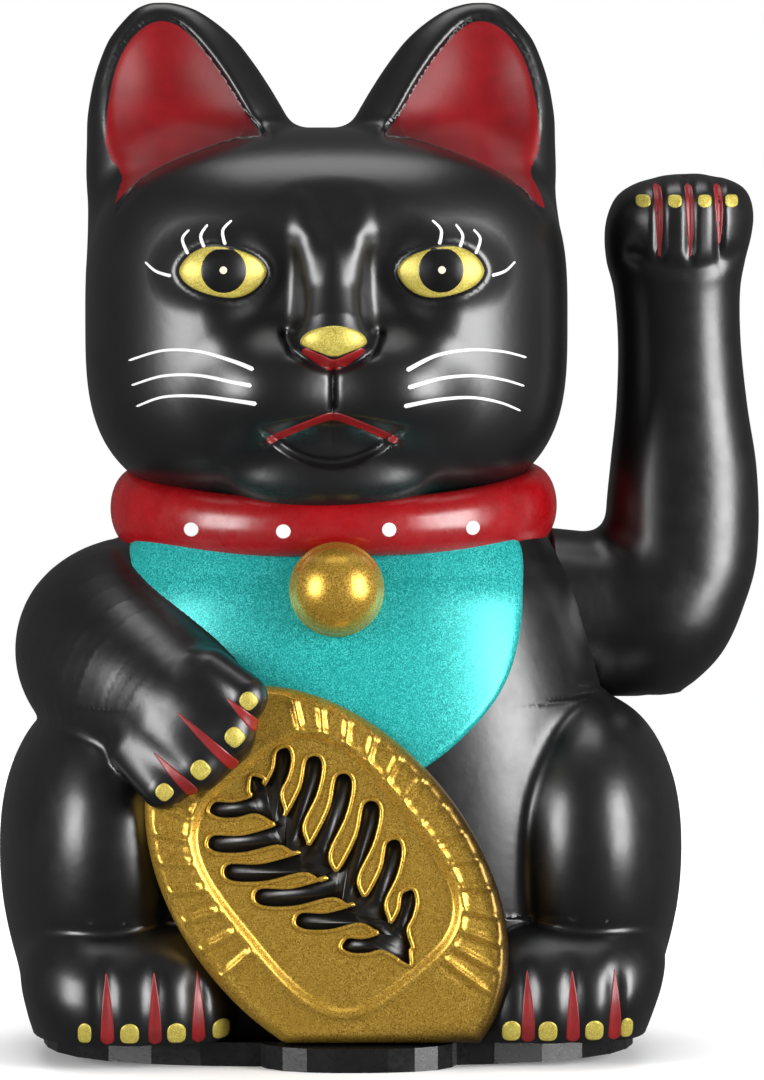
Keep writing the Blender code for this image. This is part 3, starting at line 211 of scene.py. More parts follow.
def outline_gap(u, v, corners):
    """Signed distance in a plane to a closed outline, negative inside."""
    found = np.full(np.shape(u), 1e3)
    inside = np.zeros(np.shape(u), bool)
    for (au, av), (bu, bv) in zip(corners, np.roll(corners, -1, axis=0)):
        du, dv = bu - au, bv - av
        t = np.clip(((u - au) * du + (v - av) * dv) / (du * du + dv * dv), 0, 1)
        found = np.minimum(found, np.hypot(u - au - t * du, v - av - t * dv))
        crosses = (av > v) != (bv > v)
        at = au + (v - av) * du / np.where(bv == av, 1e-9, dv)
        inside ^= crosses & (u < at)
    return np.where(inside, -found, found)


# ---- head ----------------------------------------------------------------------------------------
HEAD_X = -2.4
EAR_X = -2.95
FACE_X = -2.7
EYE_U, EYE_Z = 20.5, 149.4
EYE_LONG, EYE_UP, EYE_DOWN = 8.3, 4.7, 4.9
MOUTH_HALF, MOUTH_TOP_Z, MOUTH_LOW_Z = 15.2, 123.3, 112.2
EAR = Loft(
    [
        (150.0, 31.0, 12.0, -12.0, 14.0),
        (158.0, 30.0, 14.6, -12.5, 14.5),
        (166.0, 26.3, 19.0, -13.0, 15.0),
        (173.5, 25.0, 20.2, -11.5, 14.5),
        (177.4, 25.7, 19.4, -10.3, 13.6),
        (181.2, 26.5, 18.1, -9.0, 12.4),
        (185.1, 27.3, 16.5, -7.2, 11.0),
        (188.9, 28.0, 14.6, -5.4, 9.6),
        (192.8, 28.7, 12.2, -3.5, 8.0),
        (196.0, 29.3, 9.2, -1.8, 6.6),
        (198.5, 30.0, 6.0, -0.2, 5.2),
        (199.7, 30.6, 3.0, 1.0, 4.0),
        (200.0, 30.8, 0.8, 2.0, 3.0),
    ],
    2.2,
)
CUP = spline(
    [(42.3, 160.2), (42.2, 170.0), (41.6, 179.0), (39.8, 187.6), (36.6, 193.4), (32.2, 196.5),
     (27.6, 195.8), (22.8, 191.2), (18.4, 185.2), (14.6, 178.8), (11.9, 174.6), (16.0, 174.0),
     (21.8, 172.3), (28.4, 169.8), (35.2, 166.2)],
    45, closed=True,
)
CUP_MIDDLE = np.array((30.0, 179.0))
CUP_DEPTH = 5.0
# Height and y of the cup's edge.
CUP_EDGE = spline(
    [(152.0, -31.0), (158.0, -25.0), (164.0, -19.0), (170.0, -12.5), (176.0, -8.0), (184.0, -4.5),
     (192.0, -2.0), (198.0, -0.5)],
    80,
)


def eye_outline(count):
    """Outline of an eye about its middle, outer corner at +u."""
    angle = np.linspace(0, 2 * np.pi, count, endpoint=False)
    c, s = np.cos(angle), np.sin(angle)
    u = EYE_LONG * np.sign(c) * np.abs(c) ** 0.93
    v = np.where(s > 0, EYE_UP, EYE_DOWN) * np.sign(s) * np.abs(s) ** 1.18
    return np.stack([u, v + 0.35 * np.sin(np.pi * u / EYE_LONG)], axis=1)


EYE_RIM = eye_outline(36)


def cup_gap(v, z):
    return outline_gap(v, z, CUP)


def cup_reach():
    """Angles about the cup's middle and the softened distance to its outline at each."""
    spokes = CUP - CUP_MIDDLE
    turn = np.arctan2(spokes[:, 1], spokes[:, 0])
    angle = np.linspace(-np.pi, np.pi, 90, endpoint=False)
    reach = np.interp(angle, turn, np.linalg.norm(spokes, axis=1), period=2 * np.pi)
    window = np.hanning(19)[1:-1]
    around = np.concatenate([reach[-8:], reach, reach[:8]])
    return angle, np.convolve(around, window / window.sum(), mode="valid")


CUP_ANGLES, CUP_REACH = cup_reach()


def cup_floor(v, z):
    """y of the bowl inside an ear."""
    pv, pz = v - CUP_MIDDLE[0], z - CUP_MIDDLE[1]
    reach = np.interp(np.arctan2(pz, pv), CUP_ANGLES, CUP_REACH, period=2 * np.pi)
    share = np.minimum(np.hypot(pv, pz) / reach, 1.0)
    return np.interp(z, CUP_EDGE[:, 0], CUP_EDGE[:, 1]) + CUP_DEPTH * (1 - share**2)


def face_marks(u, z):
    """Depth of what is pressed into the face and, negative, what stands on it."""
    flat = np.abs(u)
    beside_nose = [(6.6, 155.0), (7.1, 149.0), (7.7, 142.0), (8.7, 137.6), (7.6, 134.6)]
    under_nose = [(8.7, 137.6), (7.6, 134.6), (4.5, 132.6), (0.0, 131.2)]
    depth = groove(line_gap(flat, z, beside_nose), 0.4, 2.0)
    depth += groove(line_gap(flat, z, under_nose), 0.8, 0.9)
    depth += groove(line_gap(u, z, [(0.0, 131.0), (0.0, 124.0)]), 0.8, 0.75)
    eye = outline_gap(flat - EYE_U, z - EYE_Z, EYE_RIM)
    depth += groove(eye - 0.5, 0.22, 0.55)
    top = MOUTH_TOP_Z - 2.6 * (np.minimum(flat / MOUTH_HALF, 1.3)) ** 1.5
    low = MOUTH_LOW_Z + 8.5 * (np.minimum(flat / MOUTH_HALF, 1.3)) ** 2
    sunk = 2.0 * smooth_step(0.0, 3.0, top - z) * smooth_step(-0.4, 2.0, z - low)
    lip = groove(line_gap(flat, z, [(0.0, 122.4), (4.0, 120.7), (8.5, 118.9), (12.6, 117.2)]), 0.5, 0.8)
    tongue = 1.4 * smooth_step(0.3, 2.5, z - low) * np.exp(-((u / 8.0) ** 2) - ((z - 115.0) / 2.8) ** 2)
    return depth + sunk + lip - tongue


def eye_socket(u, y, z, wall=0.0):
    return ellipsoid(u, y, z, (12.5, -51.0, 147.0), (9.5 + wall, 11.5 + wall, 13.0 + wall))


def forehead_dip(u, y, z, wall=0.0):
    return ellipsoid(u, y, z, (0.0, -57.0, 164.0), (20.0 + wall, 13.0 + wall, 9.0 + wall))


def head(x, y, z):
    v = np.abs(x - EAR_X)
    u = np.abs(x - FACE_X)
    found = pillow(x, y, z, (HEAD_X + 0.2, -3.2, 139.0), (46.4, 42.3, 37.0), 2.3, 3.2)
    found = carve(found, eye_socket(u, y, z), 7.0)
    found = carve(found, forehead_dip(u, y, z), 6.0)
    found = blend(found, ellipsoid(u, y, z, (20.5, -34.0, 149.4), (10.4, 9.4, 7.0)), 4.0)
    bridge = [((0.0, -36.5, 157.0), 4.6), ((0.0, -41.0, 149.0), 4.6), ((0.0, -43.8, 140.0), 6.0)]
    found = blend(found, limb(u, y, z, bridge), 4.0)
    furrow = [((5.4, -38.5, 161.0), 2.6), ((4.1, -41.2, 155.0), 2.9), ((3.0, -42.0, 149.0), 2.6)]
    found = blend(found, limb(u, y, z, furrow), 2.0)
    found = blend(found, ellipsoid(u, y, z, (9.5, -35.0, 127.0), (15.0, 14.0, 11.0)), 5.0)
    found = blend(found, ellipsoid(u, y, z, (0.0, -44.0, 136.8), (7.6, 6.6, 4.8)), 1.6)
    found = blend(found, ellipsoid(u, y, z, (0.0, -34.0, 109.6), (17.0, 8.8, 6.4)), 5.0)
    front = (y < -20) & (z < 166) & (u < 36)
    if np.any(front):
        found[front] += face_marks((x - FACE_X)[front], z[front])
    high = z > 146
    if np.any(high):
        found[high] = blend(found[high], EAR(v[high], y[high], z[high]), 3.0)
    cup = (z > 155) & (y < 14) & (v > 6)
    if np.any(cup):
        hollow = np.maximum(cup_gap(v[cup], z[cup]), (y[cup] - cup_floor(v[cup], z[cup])) * 0.8)
        found[cup] = carve(found[cup], hollow, 2.4)
    return found


# ---- body ----------------------------------------------------------------------------------------
BODY_X = 0.5
LEFT_FOOT_TUCK = 2.0
TORSO = Loft(
    [
        (-6.0, 0.4, 50.0, -39.0, 43.5), (4.0, 0.4, 51.8, -40.8, 44.3), (14.0, 0.4, 54.0, -44.0, 46.0),
        (30.0, 0.4, 54.5, -46.5, 46.0), (50.0, 0.4, 53.5, -47.5, 45.0), (68.5, 0.2, 50.3, -46.5, 42.0),
        (85.6, 0.0, 46.1, -42.3, 38.5), (92.0, -0.2, 43.6, -39.2, 36.8), (97.0, -0.4, 41.0, -36.4, 35.6),
        (101.0, -0.6, 38.6, -34.4, 34.0), (106.0, -0.9, 35.5, -32.0, 31.0), (112.0, -1.4, 28.0, -27.0, 25.0),
    ],
    2.5,
)
THIGH = Loft(
    [
        (4.0, 46.0, 8.0, -22.0, 10.0), (9.0, 46.0, 13.0, -32.0, 18.0), (16.0, 45.5, 17.0, -41.0, 25.0),
        (28.0, 45.8, 19.4, -47.0, 30.0), (40.0, 46.0, 19.8, -49.0, 31.0), (50.0, 46.0, 18.6, -47.5, 28.0),
        (58.0, 46.0, 15.6, -43.0, 23.0), (63.5, 46.0, 11.5, -37.0, 16.0), (67.0, 46.0, 6.0, -29.0, 7.0),
        (68.4, 46.0, 1.5, -18.0, -5.0),
    ],
    2.1,
)
FOOT = Loft(
    [
        (0.0, 40.0, 18.4, -50.6, 8.0), (4.0, 40.2, 19.3, -52.4, 8.0), (8.0, 40.4, 20.3, -54.5, 8.0),
        (13.0, 40.9, 20.9, -54.9, 8.0), (18.0, 41.3, 20.7, -53.2, 8.0), (22.5, 41.8, 19.1, -49.5, 7.5),
        (25.5, 42.3, 16.0, -45.0, 5.0), (27.0, 42.6, 10.0, -38.0, 0.0), (27.6, 42.8, 3.0, -30.0, -10.0),
    ],
    2.8,
)
# x, y, z and radius along the arm that rests on the coin.
RESTING_ARM_LINE = [
    (-34.0, 12.0, 84.0, 6.0), (-38.0, 6.0, 81.5, 14.5), (-42.0, -2.0, 77.2, 18.3),
    (-42.3, -13.0, 75.0, 18.8), (-38.0, -27.0, 71.0, 17.2), (-32.4, -36.5, 67.6, 14.5),
    (-29.8, -42.0, 65.6, 12.3), (-27.4, -46.5, 63.4, 9.4),
]
RESTING_ARM = [(row[:3], row[3]) for row in spline(RESTING_ARM_LINE, 22)]
# Toes of the resting paw: tip, root and radius of each.
RESTING_TOES = [
    ((-19.6, -52.4, 70.2), (-25.6, -48.0, 74.2), 4.4),
    ((-22.6, -52.6, 63.2), (-29.0, -48.4, 69.0), 4.8),
    ((-28.4, -52.6, 57.2), (-34.4, -47.6, 63.4), 4.8),
    ((-34.8, -51.4, 53.4), (-40.0, -45.6, 59.4), 4.3),
]
LEFT_TOE_GAPS = (-45.5, -36.6, -28.4)
RIGHT_TOE_GAPS = (33.4, 41.8, 49.9)
TOE_GAP_HIGH = 19.5


def legs(x, y, z):
    side = np.abs(x - BODY_X / 2) + BODY_X / 2
    tucked = np.where(x > 0, LEFT_FOOT_TUCK, 0) * smooth_step(26.0, 4.0, z)
    return blend(THIGH(side, y, z), FOOT(side + tucked, y, z), 1.4)


def resting_arm(x, y, z):
    found = limb(x, y, z, RESTING_ARM, 2.0)
    for tip, root, radius in RESTING_TOES:
        found = blend(found, limb(x, y, z, [(root, radius + 0.2), (tip, radius)], 1.0), 3.2)
    return found


def toe_marks(x, y, z):
    depth = np.zeros(np.shape(x))
    for gap_x in LEFT_TOE_GAPS + RIGHT_TOE_GAPS:
        depth += groove(x - gap_x, 1.15, 1.9) * smooth_step(TOE_GAP_HIGH + 3, TOE_GAP_HIGH - 5, z)
    return depth * smooth_step(-36.0, -42.0, y)


def body(x, y, z):
    found = blend(TORSO(x, y, z), legs(x, y, z), 2.4)
    low = (z < 26) & (y < -34)
    if np.any(low):
        found[low] += toe_marks(x[low], y[low], z[low])
    arm = (x < -2) & (z > 38)
    if np.any(arm):
        found[arm] = blend(found[arm], resting_arm(x[arm], y[arm], z[arm]), 1.6)
    pocket = (x > 36) & (z > 55)
    if np.any(pocket):
        rod = rod_along_x(x[pocket], y[pocket], z[pocket], AXIS_Y, AXIS_Z, POCKET_RADIUS, POCKET_X, 120.0)
        found[pocket] = carve(found[pocket], rod, 0.6)
    return found


# ---- raised arm ----------------------------------------------------------------------------------
FOREARM = Loft(
    [
        (65.9, 55.6, 1.5, 2.5, 5.5), (66.4, 56.0, 5.4, -1.0, 9.0), (69.0, 58.2, 10.0, -4.8, 12.8),
        (73.0, 60.9, 12.4, -8.4, 16.4), (78.0, 63.2, 13.7, -10.6, 18.6), (84.0, 65.2, 14.4, -11.2, 19.2),
        (90.5, 66.7, 14.8, -11.0, 19.0), (97.0, 67.2, 14.9, -10.4, 18.4), (104.0, 67.4, 14.7, -9.8, 17.8),
        (112.0, 67.5, 14.0, -9.2, 17.2), (122.0, 67.2, 12.7, -8.5, 16.5), (134.0, 66.7, 11.9, -7.9, 15.9),
        (144.0, 66.2, 12.2, -8.4, 16.2), (150.0, 65.9, 13.4, -9.6, 16.8), (155.0, 66.3, 14.2, -10.2, 17.2),
        (159.0, 66.8, 14.1, -10.2, 17.2), (162.5, 67.3, 12.9, -9.2, 16.6), (164.8, 67.9, 10.4, -7.2, 14.4),
        (166.4, 68.4, 6.0, -3.6, 11.0), (167.0, 68.6, 1.5, 2.0, 6.0),
    ],
    2.15,
)
FINGER_GAPS = (61.6, 67.5, 73.2)
FINGER_TIPS = (58.7, 64.6, 70.4, 75.8)


def raised_arm(x, y, z):
    shoulder = ((SHOULDER_X - 6.0, AXIS_Y, AXIS_Z), ARM_RADIUS + 0.2)
    upper = limb(x, y, z, [shoulder, ((60.0, AXIS_Y, 81.3), 15.0)])
    found = carve(blend(FOREARM(x, y, z), upper, 5.0), x - SHOULDER_X, 0.8)
    low = z < AXIS_Z
    if np.any(low):
        # The underside keeps inside the pocket that it swings in.
        from_axle = np.hypot(y[low] - AXIS_Y, z[low] - AXIS_Z)
        found[low] = carve(found[low], ARM_REACH - from_axle, 0.6)
    top = (z > 140) & (y < 12)
    if np.any(top):
        px, py, pz = x[top], y[top], z[top]
        depth = np.zeros(np.shape(px))
        for gap_x in FINGER_GAPS:
            depth += groove(px - gap_x, 1.1, 1.0)
        depth *= smooth_step(148.5, 153.5, pz) * smooth_step(8.0, 0.0, py)
        knuckles = [(57.0, 151.6), (61.6, 149.6), (67.5, 148.8), (73.2, 149.8), (77.0, 151.8)]
        depth += groove(line_gap(px, pz, knuckles), 0.6, 1.7) * smooth_step(0.0, -5.0, py)
        found[top] += depth
    return found


# ---- collar and bell -----------------------------------------------------------------------------
COLLAR_MIDDLE = np.array((-0.7, -1.6, 103.0))
COLLAR_RADII = (38.4, 36.3)
COLLAR_THICK, COLLAR_FRONT_HIGH, COLLAR_SIDE_HIGH = 4.7, 5.4, 7.4
SIDE_TILT = Matrix.Rotation(math.radians(-0.6), 3, "Y")
FRONT_TILT = Matrix.Rotation(math.radians(3.2), 3, "X")
COLLAR_TURN = np.array(SIDE_TILT @ FRONT_TILT)
BELL_MIDDLE, BELL_RADIUS, BELL_FLASH_Y = (-2.0, -45.0, 89.8), 8.5, -44.6


def collar(x, y, z):
    places = np.stack([x, y, z], axis=0).T - COLLAR_MIDDLE
    px, py, pz = (places @ COLLAR_TURN).T
    size = np.maximum(np.sqrt((px / COLLAR_RADII[0]) ** 2 + (py / COLLAR_RADII[1]) ** 2), 1e-3)
    ring = np.hypot(px, py) * (1 - 1 / size)
    sideways = np.clip(px / (COLLAR_RADII[0] * size), -1, 1) ** 2
    high = COLLAR_FRONT_HIGH + (COLLAR_SIDE_HIGH - COLLAR_FRONT_HIGH) * sideways
    section = np.sqrt((ring / COLLAR_THICK) ** 2 + (pz / high) ** 2)
    return (section - 1) * COLLAR_THICK


def bell(x, y, z):
    found = ellipsoid(x, y, z, BELL_MIDDLE, (BELL_RADIUS, BELL_RADIUS, BELL_RADIUS))
    beside = np.hypot(x - BELL_MIDDLE[0], z - BELL_MIDDLE[2])
    flash = np.hypot(beside - BELL_RADIUS + 0.1, (y - BELL_FLASH_Y) * 0.6) - 0.55
    return blend(found, flash, 0.5)


# ---- coin ----------------------------------------------------------------------------------------
COIN_MIDDLE = np.array((-2.7, -51.5, 36.2))
COIN_TILT = math.radians(51.0)
COIN_LONG = np.array((math.cos(COIN_TILT), -math.sin(COIN_TILT)))
COIN_SHORT = np.array((math.sin(COIN_TILT), math.cos(COIN_TILT)))
COIN_HALF = (41.6, 28.0)
COIN_SHIFT = -1.8
COIN_FACE_Y, COIN_BACK_Y = -52.3, -43.0
COIN_LEAN = 0.07
FIELD_SINK = 0.7
FIELD_MIDDLE, FIELD_HALF, FIELD_ROUNDNESS = (-1.8, -0.8), (25.0, 18.8), 3.4
COIN_BOTTOM_Z = 5.0


def coin_to_world(s, t):
    """x and z of a place on the coin; s runs along its long axis and t across it."""
    x = COIN_MIDDLE[0] + s * COIN_LONG[0] + t * COIN_SHORT[0]
    z = COIN_MIDDLE[2] + s * COIN_LONG[1] + t * COIN_SHORT[1]
    return x, z


def coin_level(s):
    """y of the coin's base level; its lower right end stands farther forward."""
    return COIN_FACE_Y - COIN_LEAN * s


def field_gap(s, t):
    """Roughly the distance to the edge of the sunk field, negative inside."""
    ps = np.abs(s - FIELD_MIDDLE[0]) / FIELD_HALF[0]
    pt = np.abs(t - FIELD_MIDDLE[1]) / FIELD_HALF[1]
    n = FIELD_ROUNDNESS
    size = np.maximum((ps**n + pt**n) ** (1 / n), 1e-6)
    steep = np.hypot((ps / size) ** (n - 1) / FIELD_HALF[0], (pt / size) ** (n - 1) / FIELD_HALF[1])
    return (size - 1) / np.maximum(steep, 1e-3)


def coin_ticks():
    """Middle, direction and half length of each raised stroke on the coin's flange."""
    found = []
    for angle in np.radians(np.concatenate([np.arange(24, 150, 9.0), np.arange(198, 276, 9.2)])):
        outer = np.array((COIN_HALF[0] * math.cos(angle), COIN_SHIFT + COIN_HALF[1] * math.sin(angle)))
        reach = 0.0
        while field_gap(*(outer * (1 - reach))) > 0.9:
            reach += 0.01
        inner = outer * (1 - reach)
        room = np.linalg.norm(outer - inner)
        middle = inner + (outer - inner) * 0.44
        found.append((middle, (outer - inner) / room, room * 0.33))
    return found


def frond():
    """Corners, in the coin's own axes, of a leafy sprig with rounded leaves: a plain ornament."""
    # Place along the stem, length and half width of each pair of leaves.
    leaves = [
        (-19.0, 9.8, 1.9), (-12.0, 14.0, 2.05), (-5.0, 15.8, 2.1),
        (2.0, 15.4, 2.1), (9.0, 13.0, 2.0), (15.8, 8.8, 1.8),
    ]
    sides = {}
    for sign in (1, -1):
        corners = []
        for s, length, half in leaves:
            root = np.array((s, stem_bend(s)))
            out = np.array((-0.42, sign * 0.91))
            across = np.array((out[1], -out[0])) * sign
            tip = root + out * length - (0.1 * length, 0.0)
            corners += [
                root - across * half + out * 2.7,
                root - across * half * 0.95 + out * length * 0.62,
                tip - across * half * 0.95 - out * 0.8,
                tip + out * 0.9,
                tip + across * half * 0.95 - out * 0.8,
                root + across * half * 0.95 + out * length * 0.62,
                root + across * half + out * 2.7,
                root + (3.4, sign * 1.9),
            ]
        sides[sign] = corners
    start = [np.array((-24.8, stem_bend(-24.8))), np.array((-22.8, stem_bend(-22.8) + 1.9))]
    end = [(19.6, stem_bend(19.6) + 1.5), (21.8, stem_bend(21.8)), (19.6, stem_bend(19.6) - 1.5)]
    return start + sides[1] + end + sides[-1][::-1] + [np.array((-22.8, stem_bend(-22.8) - 1.9))]


def stem_bend(s):
    return 1.4 * math.sin(s / 8.0)


ORNAMENT = spline(np.array([tuple(corner) for corner in frond()]), 420, closed=True)


def coin_relief(s, t, edge):
    """How far the coin's face stands before its base level; edge is the distance in from the outline."""
    gap = field_gap(s, t)
    height = (FIELD_SINK + 0.1) * smooth_step(-1.1, 0.3, gap) - FIELD_SINK
    height += 0.62 * np.exp(-(((gap - 0.9) / 0.75) ** 2))
    height -= 0.5 * smooth_step(1.8, 8.0, gap)
    height += 0.35 * np.exp(-(((edge - 1.7) / 1.1) ** 2))
    for (ms, mt), (ds, dt), half in coin_ticks():
        along = (s - ms) * ds + (t - mt) * dt
        across = -(s - ms) * dt + (t - mt) * ds
        slim = np.sqrt(np.clip(1 - (along / (half + 0.8)) ** 2, 0, 1))
        ridge = np.exp(-((across / 0.6) ** 2)) - 0.3 * np.exp(-(((across + 1.3) / 0.7) ** 2))
        height += 0.85 * ridge * slim
    inside = gap < 0
    height[inside] -= 1.0 * smooth_step(0.25, -0.5, outline_gap(s[inside], t[inside], ORNAMENT))
    round_edge = 2.4
    inset = np.clip(edge / round_edge, 0, 1)
    return height - 2.6 * (1 - np.sqrt(np.maximum(1 - (1 - inset) ** 2, 0)))


# ---- meshes --------------------------------------------------------------------------------------
def new_object(name, points, faces):
    """A mesh from points in millimetres; faces is an array of quads or a list of corner lists."""
    mesh = bpy.data.meshes.new(name)
    corners = np.concatenate([np.asarray(face) for face in faces])
    sizes = np.array([len(face) for face in faces])
    mesh.vertices.add(len(points))
    mesh.vertices.foreach_set("co", (np.asarray(points) * MM).astype(np.float32).reshape(-1))
    mesh.loops.add(len(corners))
    mesh.loops.foreach_set("vertex_index", corners.astype(np.int32))
    mesh.polygons.add(len(sizes))
    starts = np.concatenate([[0], np.cumsum(sizes)[:-1]])
    mesh.polygons.foreach_set("loop_start", starts.astype(np.int32))
    mesh.update(calc_edges=True)
    mesh.validate()
    obj = bpy.data.objects.new(name, mesh)
    bpy.context.scene.collection.objects.link(obj)
    return obj


def points_of(obj):
    found = np.empty(len(obj.data.vertices) * 3, np.float32)
    obj.data.vertices.foreach_get("co", found)
    return found.reshape(-1, 3).astype(float) / MM


def sampled(shape, low, high, step):
    """The distance function on a grid, worked out in full only near the surface."""
    block, far, chunk = 4, 9.0, 300_000
    blocks = np.ceil((np.array(high, float) - low) / (step * block)).astype(int)
    centres = [low[a] + step * block * (np.arange(blocks[a]) + 0.5) for a in range(3)]
    grid = np.meshgrid(*centres, indexing="ij")
    coarse = shape(*[axis.reshape(-1) for axis in grid]).reshape(blocks)
    wanted = np.abs(coarse) < step * block * 2.0
    field = np.where(coarse < 0, -far, far)
    for axis in range(3):
        field = np.repeat(field, block, axis=axis)
        wanted = np.repeat(wanted, block, axis=axis)
    field = np.pad(field, [(0, 1)] * 3, mode="edge")
    wanted = np.pad(wanted, [(0, 1)] * 3, mode="constant")
    for axis in range(3):
        shifted = np.zeros_like(wanted)
        take = [slice(None)] * 3
        put = [slice(None)] * 3
        take[axis] = slice(0, -1)
        put[axis] = slice(1, None)
        shifted[tuple(put)] = wanted[tuple(take)]
        wanted = wanted | shifted
    where = np.nonzero(wanted)
    values = np.empty(len(where[0]))
    for start in range(0, len(values), chunk):
        some = [index[start : start + chunk] for index in where]
        values[start : start + chunk] = shape(*[low[a] + step * some[a] for a in range(3)])
    field[where] = values
    return field


def without_crossings(field, step):
    """The field with every square of alternating corners filled, so that no four faces share an edge."""
    for _ in range(12):
        filled = False
        for u, v in ((0, 1), (1, 2), (2, 0)):
            corners = []
            for shift_u, shift_v in ((0, 0), (1, 1), (1, 0), (0, 1)):
                take = [slice(None)] * 3
                take[u] = slice(1, None) if shift_u else slice(0, -1)
                take[v] = slice(1, None) if shift_v else slice(0, -1)
                corners.append(field[tuple(take)])
            a, b, c, d = corners
            for one, other, rest, last in ((a, b, c, d), (c, d, a, b)):
                crossed = (one >= 0) & (other >= 0) & (rest < 0) & (last < 0)
                if crossed.any():
                    one[crossed & (one <= other)] = -0.05 * step
                    other[crossed & (other < one)] = -0.05 * step
                    filled = True
        if not filled:
            break
    return field


def surface_net(field, low, step):
    """A closed mesh of quads on the surface where the field changes sign."""
    field = without_crossings(field, step)
    inside = field < 0
    count = np.zeros([n - 1 for n in field.shape], np.int8)
    for i in (0, 1):
        for j in (0, 1):
            for k in (0, 1):
                corner = [slice(shift, shift + n) for shift, n in zip((i, j, k), count.shape)]
                count += inside[tuple(corner)]
    mixed = (count > 0) & (count < 8)
    number = np.full(count.shape, -1, np.int64)
    number[mixed] = np.arange(mixed.sum())
    total = int(mixed.sum())
    place = np.zeros((total, 3))
    hits = np.zeros(total)
    quads = []
    for axis in range(3):
        u, v = (axis + 1) % 3, (axis + 2) % 3
        first = [slice(None)] * 3
        second = [slice(None)] * 3
        first[axis], second[axis] = slice(0, -1), slice(1, None)
        a, b = field[tuple(first)], field[tuple(second)]
        crossing = (a < 0) != (b < 0)
        edge = np.stack(np.nonzero(crossing), axis=1)
        fa, fb = a[crossing], b[crossing]
        spot = edge.astype(float)
        spot[:, axis] += fa / (fa - fb)
        whole = (edge[:, u] > 0) & (edge[:, v] > 0)
        whole &= (edge[:, u] < field.shape[u] - 1) & (edge[:, v] < field.shape[v] - 1)
        edge, spot, forward = edge[whole], spot[whole], (fa < 0)[whole]
        cells = []
        for du, dv in ((1, 1), (0, 1), (0, 0), (1, 0)):
            cell = edge.copy()
            cell[:, u] -= du
            cell[:, v] -= dv
            index = number[cell[:, 0], cell[:, 1], cell[:, 2]]
            cells.append(index)
            for column in range(3):
                place[:, column] += np.bincount(index, spot[:, column], total)
            hits += np.bincount(index, minlength=total)
        quad = np.stack(cells, axis=1)
        quads.append(np.where(forward[:, None], quad, quad[:, ::-1]))
    points = np.array(low, float) + step * place / np.maximum(hits, 1)[:, None]
    return points, np.concatenate(quads)


def slope_of(shape, points, reach=0.05):
    found = np.empty((len(points), 3))
    for axis in range(3):
        ahead, behind = points.copy(), points.copy()
        ahead[:, axis] += reach
        behind[:, axis] -= reach
        found[:, axis] = (shape(*ahead.T) - shape(*behind.T)) / (2 * reach)
    return found


def sculpted(name, shape, low, high, step, rounds=3):
    points, quads = surface_net(sampled(shape, low, high, step), low, step)
    for _ in range(rounds):
        slope = slope_of(shape, points)
        steep = np.maximum((slope * slope).sum(axis=1), 0.04)
        move = slope * (shape(*points.T) / steep)[:, None]
        length = np.linalg.norm(move, axis=1, keepdims=True)
        points = points - move * np.minimum(1.0, 0.6 * step / np.maximum(length, 1e-9))
    return new_object(name, points, quads)


def box_cutter(low, high):
    corners = [[(low, high)[(n >> a) & 1][a] for a in range(3)] for n in range(8)]
    faces = [[0, 2, 3, 1], [4, 5, 7, 6], [0, 1, 5, 4], [2, 6, 7, 3], [0, 4, 6, 2], [1, 3, 7, 5]]
    return new_object("cutter", np.array(corners, float), faces)


def rod_cutter(start, end, radius, sides=40):
    start, end = np.array(start, float), np.array(end, float)
    along = (end - start) / np.linalg.norm(end - start)
    side = np.cross(along, (0.0, 1.0, 0.0) if abs(along[1]) < 0.9 else (1.0, 0.0, 0.0))
    side /= np.linalg.norm(side)
    up = np.cross(along, side)
    angle = np.linspace(0, 2 * np.pi, sides, endpoint=False)[:, None]
    ring = radius * (np.cos(angle) * side + np.sin(angle) * up)
    points = np.concatenate([start + ring, end + ring])
    faces = [[i, (i + 1) % sides, sides + (i + 1) % sides, sides + i] for i in range(sides)]
    faces += [list(range(sides))[::-1], list(range(sides, 2 * sides))]
    return new_object("cutter", points, faces)


def cut(obj, cutters):
    bpy.context.view_layer.update()
    for cutter in cutters:
        modifier = obj.modifiers.new("cut", "BOOLEAN")
        modifier.operation = "DIFFERENCE"
        modifier.solver = "MANIFOLD"
        modifier.object = cutter
    graph = bpy.context.evaluated_depsgraph_get()
    made = bpy.data.meshes.new_from_object(obj.evaluated_get(graph))
    obj.modifiers.clear()
    old = obj.data
    obj.data = made
    made.name = obj.name
    bpy.data.meshes.remove(old)
    for cutter in cutters:
        bpy.data.objects.remove(cutter)
    return obj


def copied(obj, name):
    other = bpy.data.objects.new(name, obj.data.copy())
    bpy.context.scene.collection.objects.link(other)
    return other


def halves(whole, front_name, rear_name):
    """The moulding cut along the parting line into a front and a rear shell."""
    rear = copied(whole, rear_name)
    whole.name = front_name
    cut(whole, [box_cutter((-300, SEAM_Y - SEAM_HALF_GAP, -50), (300, 300, 400))])
    cut(rear, [box_cutter((-300, -300, -50), (300, SEAM_Y + SEAM_HALF_GAP, 400))])
    return whole, rear


def shade_from(obj, shape, crisp_deg=42.0):
    """Smooth shading whose normals come from the sculpted form itself, and flat shading where it was cut."""
    mesh = obj.data
    points = points_of(obj)
    slope = slope_of(shape, points)
    slope /= np.maximum(np.linalg.norm(slope, axis=1, keepdims=True), 1e-9)
    on_surface = np.abs(shape(*points.T)) < 0.3
    shade_smooth(obj)
    corner = np.empty(len(mesh.loops), np.int32)
    mesh.loops.foreach_get("vertex_index", corner)
    normal = np.empty(len(mesh.polygons) * 3, np.float32)
    mesh.polygons.foreach_get("normal", normal)
    size = np.empty(len(mesh.polygons), np.int32)
    mesh.polygons.foreach_get("loop_total", size)
    flat = np.repeat(normal.reshape(-1, 3).astype(float), size, axis=0)
    smooth = slope[corner]
    take = on_surface[corner] & ((smooth * flat).sum(axis=1) > math.cos(math.radians(crisp_deg)))
    mesh.normals_split_custom_set(np.where(take[:, None], smooth, flat))
    return obj


